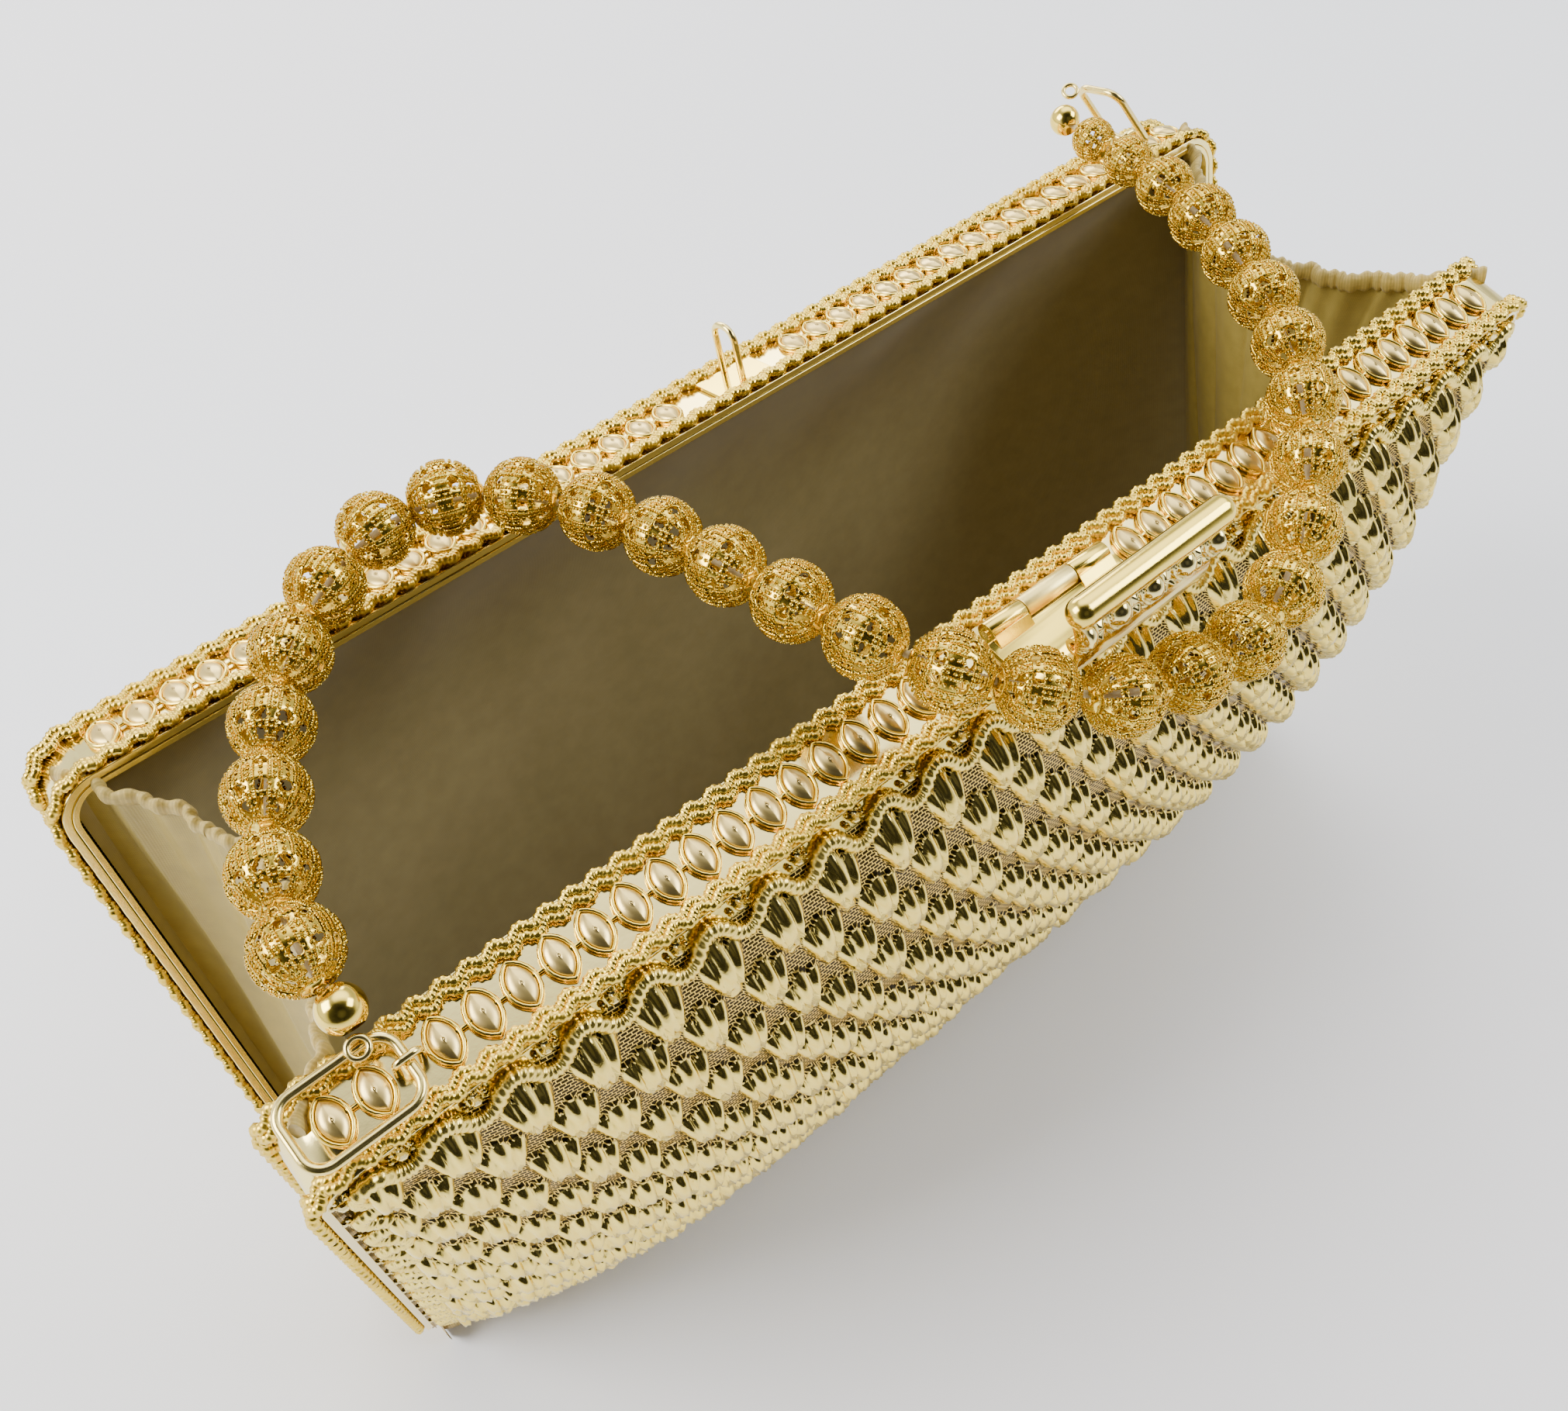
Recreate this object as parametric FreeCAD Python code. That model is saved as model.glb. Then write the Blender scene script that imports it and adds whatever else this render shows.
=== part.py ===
"""Frame evening bag with a beaded handle, open as it stands.

Two U-shaped metal half frames hinge on pins low at both ends. Each half carries a domed
panel board with a shell-pattern cover and a lining. Gussets fold in at the ends. A domed
clasp flap hinges on the front bar, and a strand of openwork beads runs from a ring on the
front bar's left end to a ring on the back bar's right end.

Units are millimetres. X runs along the bars to the right, -Y is the front, +Z is up, and
the origin is the middle of the base on the surface that the bag stands on. Each half is
built closed, with its mouth in the plane Y = 0, and is then swung open about the hinge.
"""
import FreeCAD, Part
import math
import os

Vector = FreeCAD.Vector

# Driving dimensions
frame_length = 210.0       # over the two arms
frame_top = 122.0          # bar's top face above the floor when closed
hinge_height = 10.0
open_angle = 13.0          # how far each half stands open, in degrees
mouth_gap = 0.15           # from the mouth plane to each half
band_width = 11.5          # the band's outer edge, measured from the mouth plane
band_thickness = 1.0
corner_radius = 6.0
arm_foot = hinge_height + 5.0

ear_radius = 3.5
ear_thickness = 0.9
hinge_pin_radius = 1.2
hinge_hole_radius = 1.25

board_half_length = 103.5
board_low = 9.0
board_high = 120.5
board_edge = 11.7          # depth of the board's rim, outward of the mouth plane
board_bulge = 15.5
board_thickness = 1.4
cover_thickness = 2.6
bulge_power_x = 5.0
bulge_power_z = 3.0

lining_half_length = 102.4
lining_low = 11.5
lining_high = 119.6
lining_edge = 3.0
lining_bulge = 21.5
lining_thickness = 0.5

cord_height = 1.65         # of the gimp cords that stand on the band
cord_width = 2.4
inner_cord_start = 0.25
outer_cord_start = 9.2
cord_foot = 20.0

stone_pitch = 4.78
stone_length = 5.6         # across the band
stone_width = 3.4
stone_height = 1.15
setting_margin = 0.3
setting_height = 0.7
stone_centre = 5.8         # depth of the stones' middle line on the band

border_inset = 5.8         # of the pale border cord, from the edge of the panel
border_width = 2.2
border_height = 1.1
dot_radius = 0.8
dot_inset = 2.6
dot_pitch = 8.7

clasp_centre = 3.0         # the clasp's place along the bar
clasp_depth = 5.0          # of the clasp's hinge axis, from the mouth plane
barrel_half_length = 10.5
knuckle_radius = 1.5
knuckle_bore = 0.6
clasp_pin_radius = 0.55
middle_knuckle_half = 4.4
knuckle_gap = 0.15
leaf_thickness = 0.7
clasp_axis_height = frame_top + 0.05 + leaf_thickness + knuckle_radius + 0.15
flap_open = 117.0          # from shut to where the flap leans open
flap_reach = 19.0
flap_rise = 6.5
flap_thickness = 0.8
flap_half_length = 11.5
lip_radius = 1.9
lip_half_length = 13.5
stud_radius = 1.4
stud_pitch = 5.6

loop_wire = 0.5
loop_height = 8.6

ring_wire = 0.6
ring_length = 13.2         # between wire centres
ring_breadth = 8.4
ring_corner = 2.4
staple_x = 90.2
staple_wire = 0.45
staple_half_span = 1.4
ring_lift = 2.45           # of the ring's centre line above the band
right_ring_raised = 124.0  # degrees from lying flat

core_radius = 0.45
bead_bore = 2.6
bead_wall = 0.8
ball_bore = 1.3
bead_radius = 5.1

# Middle of each bead along the strand, chosen by hand, from the front left ring on
LEFT_BEADS = [
    (-93.0, -17.5, 127.5), (-90.3, -7.6, 127.0), (-86.0, 2.0, 126.6), (-80.6, 11.0, 126.4),
    (-73.8, 19.0, 126.6), (-65.6, 25.6, 126.8), (-56.0, 29.9, 127.0), (-45.9, 28.7, 127.2),
    (-38.6, 21.5, 127.6), (-33.8, 12.2, 128.2), (-31.0, 2.2, 129.2),
]
RIGHT_BEADS = [
    (-29.2, -8.0, 130.4), (-27.8, -18.3, 131.4), (-25.6, -28.5, 131.8), (-21.4, -37.8, 130.8),
    (-14.6, -45.0, 128.4), (-5.8, -50.5, 124.8), (4.0, -52.0, 122.4), (14.4, -52.6, 120.6),
    (24.8, -50.4, 120.4), (34.2, -45.8, 121.6), (42.6, -39.8, 123.6), (50.2, -32.8, 125.6),
    (56.8, -24.8, 126.9), (62.4, -16.2, 127.4), (67.4, -7.2, 127.5), (71.4, 2.2, 127.4),
    (74.2, 11.6, 127.2), (75.8, 20.4, 127.0), (76.6, 28.4, 127.0),
]
SMALL_BEADS = {16: 4.6, 17: 4.1, 18: 3.6}   # the last three beads taper down
LEFT_BALL = (-92.6, -24.4, 124.2)
RIGHT_BALL = (76.9, 35.0, 127.6)
LEFT_BALL_RADIUS = 2.7
RIGHT_BALL_RADIUS = 2.4
LEFT_LINK_END = (-93.4, -28.3, 122.6)
RIGHT_LINK_END = (80.6, 37.6, 130.2)

os.makedirs("parts", exist_ok=True)
X_AXIS = Vector(1, 0, 0)
Y_AXIS = Vector(0, 1, 0)
Z_AXIS = Vector(0, 0, 1)
ORIGIN = Vector(0, 0, 0)
HINGE = Vector(0, 0, hinge_height)


def save(name, shape):
    """Write one sub-part, and say how big it is and whether it is sound."""
    box = shape.BoundBox
    size = "%.1f x %.1f x %.1f" % (box.XLength, box.YLength, box.ZLength)
    state = "ok" if shape.isValid() and shape.Volume > 0 else "BAD"
    print(name, size, len(shape.Solids), "solids", "%.1f mm3" % shape.Volume, state)
    shape.exportStep("parts/" + name + ".step")


def box_between(low, high):
    low = Vector(*low)
    size = Vector(*high) - low
    return Part.makeBox(size.x, size.y, size.z, low)


def rod(start, end, radius):
    start = Vector(*start)
    way = Vector(*end) - start
    return Part.makeCylinder(radius, way.Length, start, way)


# Swinging the halves open

def front(shape):
    """A shape built closed in front of the mouth plane, swung open with the front half."""
    opened = shape.copy()
    opened.rotate(HINGE, X_AXIS, open_angle)
    return opened


def back(shape):
    """The same shape turned round to the back, swung open with the back half."""
    opened = shape.copy()
    opened.rotate(ORIGIN, Z_AXIS, 180)
    opened.rotate(HINGE, X_AXIS, -open_angle)
    return opened


# The frames

def u_outline(half_length, top, radius, foot):
    """Closed outline in the XZ plane: a U upside down with rounded top corners."""
    x, r = half_length, radius
    bend = r * (1 - math.sqrt(0.5))
    points = {
        "foot_left": Vector(-x, 0, foot), "low_left": Vector(-x, 0, top - r),
        "bend_left": Vector(-x + bend, 0, top - bend), "top_left": Vector(-x + r, 0, top),
        "top_right": Vector(x - r, 0, top), "bend_right": Vector(x - bend, 0, top - bend),
        "low_right": Vector(x, 0, top - r), "foot_right": Vector(x, 0, foot),
    }
    edges = [
        Part.makeLine(points["foot_left"], points["low_left"]),
        Part.Arc(points["low_left"], points["bend_left"], points["top_left"]).toShape(),
        Part.makeLine(points["top_left"], points["top_right"]),
        Part.Arc(points["top_right"], points["bend_right"], points["low_right"]).toShape(),
        Part.makeLine(points["low_right"], points["foot_right"]),
        Part.makeLine(points["foot_right"], points["foot_left"]),
    ]
    return Part.Face(Part.Wire(edges))


def u_strip(half_length, top, radius, thickness, near, far, foot):
    """A strip bent to a U, from depth near to depth far in front of the mouth plane."""
    outer = u_outline(half_length, top, radius, foot)
    inner = u_outline(half_length - thickness, top - thickness, radius - thickness, foot)
    outer.translate(Vector(0, -near, 0))
    inner.translate(Vector(0, -near, 0))
    way = Vector(0, near - far, 0)
    return outer.extrude(way).cut(inner.extrude(way))


def half_frame(joggled):
    """The band with a hinge ear at each foot. Joggled ears lie inside the other half's ears."""
    half = frame_length / 2
    band = u_strip(half, frame_top, corner_radius, band_thickness, mouth_gap, band_width, arm_foot)
    pieces = [band]
    for side in (-1, 1):
        if joggled:
            outer_face = half - band_thickness - 0.15
            neck_face = half - band_thickness
        else:
            outer_face = half
            neck_face = half
        inner_face = outer_face - ear_thickness
        disc = rod((side * inner_face, 0, hinge_height), (side * outer_face, 0, hinge_height), ear_radius)
        neck_low = (min(side * inner_face, side * outer_face), -ear_radius, hinge_height)
        neck_high = (max(side * inner_face, side * outer_face), -mouth_gap - 0.6, arm_foot + 4)
        pieces.append(disc.fuse(box_between(neck_low, neck_high)))
        if joggled:
            weld_low = (min(side * inner_face, side * neck_face), -ear_radius, arm_foot)
            weld_high = (max(side * inner_face, side * neck_face), -mouth_gap - 0.6, arm_foot + 4)
            pieces.append(box_between(weld_low, weld_high))
    frame = pieces[0].multiFuse(pieces[1:])
    hole_start = (-half - 2, 0, hinge_height)
    hole_end = (half + 2, 0, hinge_height)
    return frame.cut(rod(hole_start, hole_end, hinge_hole_radius)).removeSplitter()


def rim():
    """The thin lip inside the band, along the mouth."""
    half = frame_length / 2 - band_thickness - 0.1
    top = frame_top - band_thickness - 0.1
    return u_strip(half, top, corner_radius - 1.1, 0.8, mouth_gap, 2.2, arm_foot + 6)


def edge_cord(start):
    """A gimp cord along the band's outer face, as a plain strip."""
    rise = cord_height + 0.05
    half = frame_length / 2 + rise
    radius = corner_radius + rise
    return u_strip(half, frame_top + rise, radius, cord_height, start, start + cord_width, cord_foot)


def stone_places(skip_low, skip_high):
    """Places along the bar, with a pitch and a half at the ring's staple on the left."""
    places = [-99.1, -94.3]
    x = -86.2
    while x < 99.5:
        if not skip_low < x < skip_high:
            places.append(x)
        x += stone_pitch
    return places


def navette(x, margin, low, height):
    """A pointed oval across the band, extruded upward."""
    length = stone_length / 2 + margin
    width = stone_width / 2 + margin
    tip_near = Vector(x, -stone_centre + length, low)
    tip_far = Vector(x, -stone_centre - length, low)
    right = Part.Arc(tip_near, Vector(x + width, -stone_centre, low), tip_far).toShape()
    left = Part.Arc(tip_far, Vector(x - width, -stone_centre, low), tip_near).toShape()
    return Part.Face(Part.Wire([right, left])).extrude(Vector(0, 0, height))


def stone_chain(places):
    """The pointed oval settings and the short bars that join neighbours."""
    low = frame_top + 0.05
    solids = [navette(x, setting_margin, low, setting_height) for x in places]
    joined = []
    run = [solids[0]]
    for i in range(1, len(places)):
        if places[i] - places[i - 1] < 1.2 * stone_pitch:
            bar_low = (places[i - 1] + 1.6, -stone_centre - 0.4, low)
            bar_high = (places[i] - 1.6, -stone_centre + 0.4, low + 0.6)
            run.append(box_between(bar_low, bar_high))
            run.append(solids[i])
        else:
            joined.append(run[0].multiFuse(run[1:]) if len(run) > 1 else run[0])
            run = [solids[i]]
    joined.append(run[0].multiFuse(run[1:]) if len(run) > 1 else run[0])
    return Part.makeCompound(joined)


def stones(places):
    low = frame_top + 0.05 + setting_height + 0.02
    return Part.makeCompound([navette(x, 0.0, low, stone_height) for x in places])


# The domed panels

def bulge(x, z, half_length, low, high):
    """How far the panel has bellied out, from 0 at its edges to 1 in the middle."""
    across = min(1.0, abs(x) / half_length)
    up = min(1.0, abs(z - (low + high) / 2) / ((high - low) / 2))
    return (1 - across ** bulge_power_x) * (1 - up ** bulge_power_z)


def board_depth(x, z, offset):
    full = bulge(x, z, board_half_length, board_low, board_high)
    return board_edge + board_bulge * full + offset


def lining_depth(x, z, offset):
    full = bulge(x, z, lining_half_length, lining_low, lining_high)
    return lining_edge + lining_bulge * full + offset


def spread(low, high, steps, bunched):
    """Values from low to high, bunched towards both ends where the surface turns most."""
    found = []
    for i in range(steps + 1):
        t = 2.0 * i / steps - 1
        if bunched:
            t = math.sin(math.pi / 2 * t)
        found.append((low + high) / 2 + (high - low) / 2 * t)
    return found


def curved_plate(depth, x_range, z_range, near, far, steps=(24, 14), bunched=True):
    """A plate between two offsets of a depth function, over a rectangle in X and Z."""
    xs = spread(x_range[0], x_range[1], steps[0], bunched)
    zs = spread(z_range[0], z_range[1], steps[1], bunched)
    faces = []
    for offset in (near, far):
        surface = Part.BSplineSurface()
        surface.interpolate([[Vector(x, -depth(x, z, offset), z) for z in zs] for x in xs])
        faces.append(surface.toShape())
    walls = []
    for one, other in zip(faces[0].Edges, faces[1].Edges):
        walls.append(Part.makeRuledSurface(one, other))
    solid = Part.makeSolid(Part.makeShell(faces + walls))
    if solid.Volume < 0:
        solid.reverse()
    return solid


def whole_board(near, far):
    x_range = (-board_half_length, board_half_length)
    return curved_plate(board_depth, x_range, (board_low, board_high), near, far)


def lining():
    x_range = (-lining_half_length, lining_half_length)
    return curved_plate(lining_depth, x_range, (lining_low, lining_high), 0.0, lining_thickness)


COVER_NEAR = board_thickness + 0.1
COVER_FAR = COVER_NEAR + cover_thickness


def border_cord():
    """The pale cord that runs round the cover inside its edge, as three plain strips."""
    near = COVER_FAR + 0.1
    far = near + border_height
    side = board_half_length - border_inset
    top = board_high - border_inset
    strips = [curved_plate(board_depth, (-side, side), (top, top + border_width), near, far, (20, 2), False)]
    for x_range in ((-side, -side + border_width), (side - border_width, side)):
        z_range = (board_low + 8, top - 0.2)
        strips.append(curved_plate(board_depth, x_range, z_range, near, far, (2, 12), False))
    return Part.makeCompound(strips)


def border_dots():
    """Small beads between the outer cord and the border cord."""
    near = COVER_FAR + 0.15 + dot_radius
    places = []
    count = int((board_half_length - dot_inset) / dot_pitch)
    for i in range(-count, count + 1):
        places.append((i * dot_pitch, board_high - dot_inset))
    z = board_high - dot_inset - dot_pitch
    while z > board_low + 10:
        places.append((-board_half_length + dot_inset, z))
        places.append((board_half_length - dot_inset, z))
        z -= dot_pitch
    beads = []
    for x, z in places:
        out = board_depth(x, z, near) + 0.3
        beads.append(Part.makeSphere(dot_radius, Vector(x, -out, z)))
    return Part.makeCompound(beads)


# Round wires

def wire_tube(points, radius, bend):
    """A round wire along straight runs with tangent arcs at the corners."""
    points = [Vector(*p) for p in points]
    edges = []
    here = points[0]
    for before, corner, after in zip(points, points[1:], points[2:]):
        into = (corner - before).normalize()
        out = (after - corner).normalize()
        turn = into.getAngle(out)
        cut = bend * math.tan(turn / 2)
        start = corner - into * cut
        end = corner + out * cut
        middle = corner + (out - into).normalize() * (bend / math.cos(turn / 2) - bend)
        edges.append(Part.makeLine(here, start))
        edges.append(Part.Arc(start, middle, end).toShape())
        here = end
    edges.append(Part.makeLine(here, points[-1]))
    path = Part.Wire(edges)
    circle = Part.Circle(points[0], points[1] - points[0], radius).toShape()
    return path.makePipeShell([Part.Wire([circle])], True, True)


def staple():
    """A wire arch over the short side of the ring, standing on the band."""
    low = frame_top + 0.1
    high = frame_top + ring_lift + ring_wire + staple_wire + 0.25
    left = -staple_x - staple_half_span
    right = -staple_x + staple_half_span
    y = -stone_centre
    return wire_tube([(left, y, low), (left, y, high), (right, y, high), (right, y, low)], staple_wire, 0.9)


def flat_ring(raised):
    """The handle's ring, a rounded oblong of wire, turned up about its side in the staple."""
    z = frame_top + ring_lift
    near = -stone_centre + ring_breadth / 2
    far = -stone_centre - ring_breadth / 2
    middle = -staple_x - ring_length / 2
    closed = [
        (middle, near, z), (-staple_x, near, z), (-staple_x, far, z),
        (-staple_x - ring_length, far, z), (-staple_x - ring_length, near, z), (middle, near, z),
    ]
    first = wire_tube(closed[:4] + [(-staple_x - ring_length, -stone_centre, z)], ring_wire, ring_corner)
    last = wire_tube([(-staple_x - ring_length, -stone_centre, z)] + closed[4:], ring_wire, ring_corner)
    ring = first.fuse(last).removeSplitter()
    ring.rotate(Vector(-staple_x, 0, z), Y_AXIS, raised)
    return ring


def catch_loop():
    """A wire loop that stands across the back bar, at the clasp's place."""
    low = frame_top + 0.7
    high = frame_top + loop_height
    near = -3.6
    far = -8.2
    x = -clasp_centre
    return wire_tube([(x, near, low), (x, near, high), (x, far, high), (x, far, low)], loop_wire, 2.0)


# The clasp

def along_barrel(start, end, radius, y=-clasp_depth, z=clasp_axis_height):
    return rod((clasp_centre + start, y, z), (clasp_centre + end, y, z), radius)


def clasp_base():
    """The leaf on the band, with the middle knuckle of the barrel."""
    half = middle_knuckle_half
    low = frame_top + 0.05
    leaf_low = (clasp_centre - barrel_half_length, -9.0, low)
    leaf_high = (clasp_centre + barrel_half_length, -2.8, low + leaf_thickness)
    web_low = (clasp_centre - half, -clasp_depth - 0.8, low + leaf_thickness)
    web_high = (clasp_centre + half, -clasp_depth + 0.8, clasp_axis_height)
    knuckle = along_barrel(-half, half, knuckle_radius)
    shape = box_between(leaf_low, leaf_high).multiFuse([box_between(web_low, web_high), knuckle])
    return shape.cut(along_barrel(-half - 1, half + 1, knuckle_bore)).removeSplitter()


def open_flap(shape):
    """Swing a piece of the shut flap up to where it leans open."""
    opened = shape.copy()
    opened.rotate(Vector(0, -clasp_depth, clasp_axis_height), X_AXIS, flap_open)
    return opened


def flap_arc():
    """Middle and radius of the flap's arched profile, shut."""
    radius = ((flap_reach / 2) ** 2 + flap_rise ** 2) / (2 * flap_rise)
    y = -clasp_depth + flap_reach / 2
    z = clasp_axis_height + knuckle_radius + flap_rise - radius
    return y, z, radius


def clasp_flap():
    """The arched flap with the barrel's two outer knuckles."""
    y, z, radius = flap_arc()
    arch = along_barrel(-flap_half_length, flap_half_length, radius, y, z)
    hollow = along_barrel(-flap_half_length - 1, flap_half_length + 1, radius - flap_thickness, y, z)
    keep_low = (clasp_centre - 20, -clasp_depth + 0.4, clasp_axis_height + 1.0)
    keep_high = (clasp_centre + 20, -clasp_depth + flap_reach + 0.6, clasp_axis_height + 20)
    arch = arch.cut(hollow).common(box_between(keep_low, keep_high))
    solids = [arch]
    for start, end in ((-barrel_half_length, -middle_knuckle_half - knuckle_gap),
                       (middle_knuckle_half + knuckle_gap, barrel_half_length)):
        solids.append(along_barrel(start, end, knuckle_radius))
        web_low = (clasp_centre + start, -clasp_depth - 0.2, clasp_axis_height + 0.7)
        web_high = (clasp_centre + end, -clasp_depth + 1.4, clasp_axis_height + 2.2)
        solids.append(box_between(web_low, web_high))
    notch = middle_knuckle_half + knuckle_gap
    flap = solids[0].cut(along_barrel(-notch, notch, knuckle_radius + 0.2)).multiFuse(solids[1:])
    return open_flap(flap.cut(along_barrel(-14, 14, knuckle_bore)).removeSplitter())


def clasp_lip():
    """The round-ended bar along the flap's free edge."""
    y = -clasp_depth + flap_reach + 2.3
    z = clasp_axis_height + 0.4
    straight = lip_half_length - lip_radius
    bar = along_barrel(-straight, straight, lip_radius, y, z)
    ends = [Part.makeSphere(lip_radius, Vector(clasp_centre + s * straight, y, z)) for s in (-1, 1)]
    return open_flap(bar.multiFuse(ends).removeSplitter())


def clasp_studs():
    """A row of domed studs on the outside of the flap, beside the lip bar."""
    y, z, radius = flap_arc()
    angle = math.radians(38)
    reach = radius + stud_radius + 0.1
    domes = []
    for i in range(-2, 3):
        place = Vector(clasp_centre + i * stud_pitch, y + reach * math.cos(angle), z + reach * math.sin(angle))
        domes.append(Part.makeSphere(stud_radius, place))
    return open_flap(Part.makeCompound(domes))


def catch_tubes():
    """Two short tubes under the arch, one each side of the catch loop."""
    y, z, radius = flap_arc()
    height = z + radius - flap_thickness - 1.5
    tubes = []
    for start, end in ((-7.0, -1.6), (1.6, 7.0)):
        tube = along_barrel(start, end, 1.3, y, height)
        tubes.append(tube.cut(along_barrel(start - 1, end + 1, 0.7, y, height)))
    return open_flap(Part.makeCompound(tubes))


# Gussets

def gusset(side, low, high, inset_top, thickness):
    """Two leaves that meet in a fold turned into the bag, narrowing to the hinge."""
    tilt = math.tan(math.radians(open_angle))
    plates = []
    for way in (-1, 1):
        rings = []
        for z in (low, high):
            share = (z - hinge_height) / (frame_top - hinge_height)
            reach = max(0.8, (z - hinge_height) * tilt - 0.6)
            fold = inset_top * share
            edge_x = 101.9
            rings.append([
                Vector(side * edge_x, way * reach, z),
                Vector(side * (edge_x - thickness), way * reach, z),
                Vector(side * (edge_x - fold - thickness), 0, z),
                Vector(side * (edge_x - fold), 0, z),
            ])
        sections = [Part.makePolygon(ring + [ring[0]]) for ring in rings]
        plates.append(Part.makeLoft(sections, True, True))
    return plates[0].fuse(plates[1]).removeSplitter()


# Base

def base_stay():
    """The metal strip in the base, turned up at its ends to hold the hinge pins."""
    inner = frame_length / 2 - band_thickness - 0.15 - ear_thickness - 0.2
    strip = box_between((-inner, -5, 2.5), (inner, 5, 3.3))
    pieces = [strip]
    for side in (-1, 1):
        faces = sorted((side * (inner - 0.9), side * inner))
        pieces.append(box_between((faces[0], -3, 2.5), (faces[1], 3, hinge_height)))
        pieces.append(rod((faces[0], 0, hinge_height), (faces[1], 0, hinge_height), 3.0))
    stay = pieces[0].multiFuse(pieces[1:])
    hole = rod((-frame_length, 0, hinge_height), (frame_length, 0, hinge_height), hinge_hole_radius)
    return stay.cut(hole).removeSplitter()


def hinge_pin(side):
    """A rivet through both ears and the stay's end."""
    inner = frame_length / 2 - band_thickness - 0.15 - ear_thickness - 0.2 - 0.9
    outer = frame_length / 2
    shank = rod((side * (inner - 0.3), 0, hinge_height), (side * (outer + 0.3), 0, hinge_height),
                hinge_pin_radius)
    tail = rod((side * (inner - 0.8), 0, hinge_height), (side * (inner - 0.05), 0, hinge_height), 2.0)
    head = rod((side * (outer + 0.05), 0, hinge_height), (side * (outer + 0.9), 0, hinge_height), 2.3)
    return shank.multiFuse([tail, head]).removeSplitter()


# The handle's strand

def turned(profile, place, way):
    """A profile in the XZ plane turned about Z, then set along the strand."""
    shape = Part.Face(Part.Wire(profile)).revolve(ORIGIN, Z_AXIS, 360)
    shape.Placement = FreeCAD.Placement(place, FreeCAD.Rotation(Z_AXIS, way))
    return shape


def bead(place, before, after, radius):
    """A hollow bead bored along the strand."""
    way = (Vector(*after) - Vector(*before)).normalize()
    bore = min(bead_bore, radius * 0.52)
    inner = radius - bead_wall
    outer_end = math.sqrt(radius ** 2 - bore ** 2)
    inner_end = math.sqrt(inner ** 2 - bore ** 2)
    outside = Part.Arc(Vector(bore, 0, outer_end), Vector(radius, 0, 0), Vector(bore, 0, -outer_end))
    inside = Part.Arc(Vector(bore, 0, -inner_end), Vector(inner, 0, 0), Vector(bore, 0, inner_end))
    profile = [
        outside.toShape(),
        Part.makeLine(Vector(bore, 0, -outer_end), Vector(bore, 0, -inner_end)),
        inside.toShape(),
        Part.makeLine(Vector(bore, 0, inner_end), Vector(bore, 0, outer_end)),
    ]
    return turned(profile, Vector(*place), way)


def bead_run(places, before, after, radii):
    line = [before] + places + [after]
    return Part.makeCompound([
        bead(line[i], line[i - 1], line[i + 1], radii.get(i - 1, bead_radius))
        for i in range(1, len(line) - 1)
    ])


def strand_core(points):
    """The thread, as straight runs joined by the largest tangent arcs that fit."""
    points = [Vector(*p) for p in points]
    edges = []
    radii = []
    here = points[0]
    for before, corner, after in zip(points, points[1:], points[2:]):
        into = (corner - before).normalize()
        out = (after - corner).normalize()
        half_turn = into.getAngle(out) / 2
        cut = 0.45 * min((corner - before).Length, (after - corner).Length)
        arc = cut / math.tan(half_turn)
        radii.append(arc)
        start = corner - into * cut
        end = corner + out * cut
        middle = corner + (out - into).normalize() * (arc / math.cos(half_turn) - arc)
        edges.append(Part.makeLine(here, start))
        edges.append(Part.Arc(start, middle, end).toShape())
        here = end
    edges.append(Part.makeLine(here, points[-1]))
    path = Part.Wire(edges)
    circle = Part.Circle(points[0], points[1] - points[0], core_radius).toShape()
    tube = path.makePipeShell([Part.Wire([circle])], True, True)
    share = tube.Volume / (math.pi * core_radius ** 2 * path.Length)
    print("strand", "%.1f mm" % path.Length, "smallest arc %.1f" % min(radii), "volume share %.3f" % share)
    return tube


def middle_of(a, b):
    return tuple((p + q) / 2 for p, q in zip(a, b))


def end_ball(place, neighbour, link_end, radius):
    """A smooth ball bored for the thread."""
    way = (Vector(*neighbour) - Vector(*link_end)).normalize()
    end = math.sqrt(radius ** 2 - ball_bore ** 2)
    outside = Part.Arc(Vector(ball_bore, 0, end), Vector(radius, 0, 0), Vector(ball_bore, 0, -end))
    profile = [outside.toShape(), Part.makeLine(Vector(ball_bore, 0, -end), Vector(ball_bore, 0, end))]
    return turned(profile, Vector(*place), way)


def end_link(end, ball):
    """A small wire eye between the ball and the ring."""
    end = Vector(*end)
    way = Vector(*ball) - end
    eye = Part.makeTorus(1.1, 0.35, end, way.cross(Z_AXIS).cross(way))
    return eye


def make_half(place, prefix, joggled, skip_low, skip_high):
    """All the pieces that the two halves have alike."""
    places = stone_places(skip_low, skip_high)
    save(prefix + "_frame", place(half_frame(joggled)))
    save(prefix + "_rim", place(rim()))
    save(prefix + "_inner_cord", place(edge_cord(inner_cord_start)))
    save(prefix + "_outer_cord", place(edge_cord(outer_cord_start)))
    save(prefix + "_stone_chain", place(stone_chain(places)))
    save(prefix + "_stones", place(stones(places)))
    save(prefix + "_board", place(whole_board(0.0, board_thickness)))
    save(prefix + "_shell_cover", place(whole_board(COVER_NEAR, COVER_FAR)))
    save(prefix + "_border_cord", place(border_cord()))
    save(prefix + "_border_dots", place(border_dots()))
    save(prefix + "_lining", place(lining()))


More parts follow.
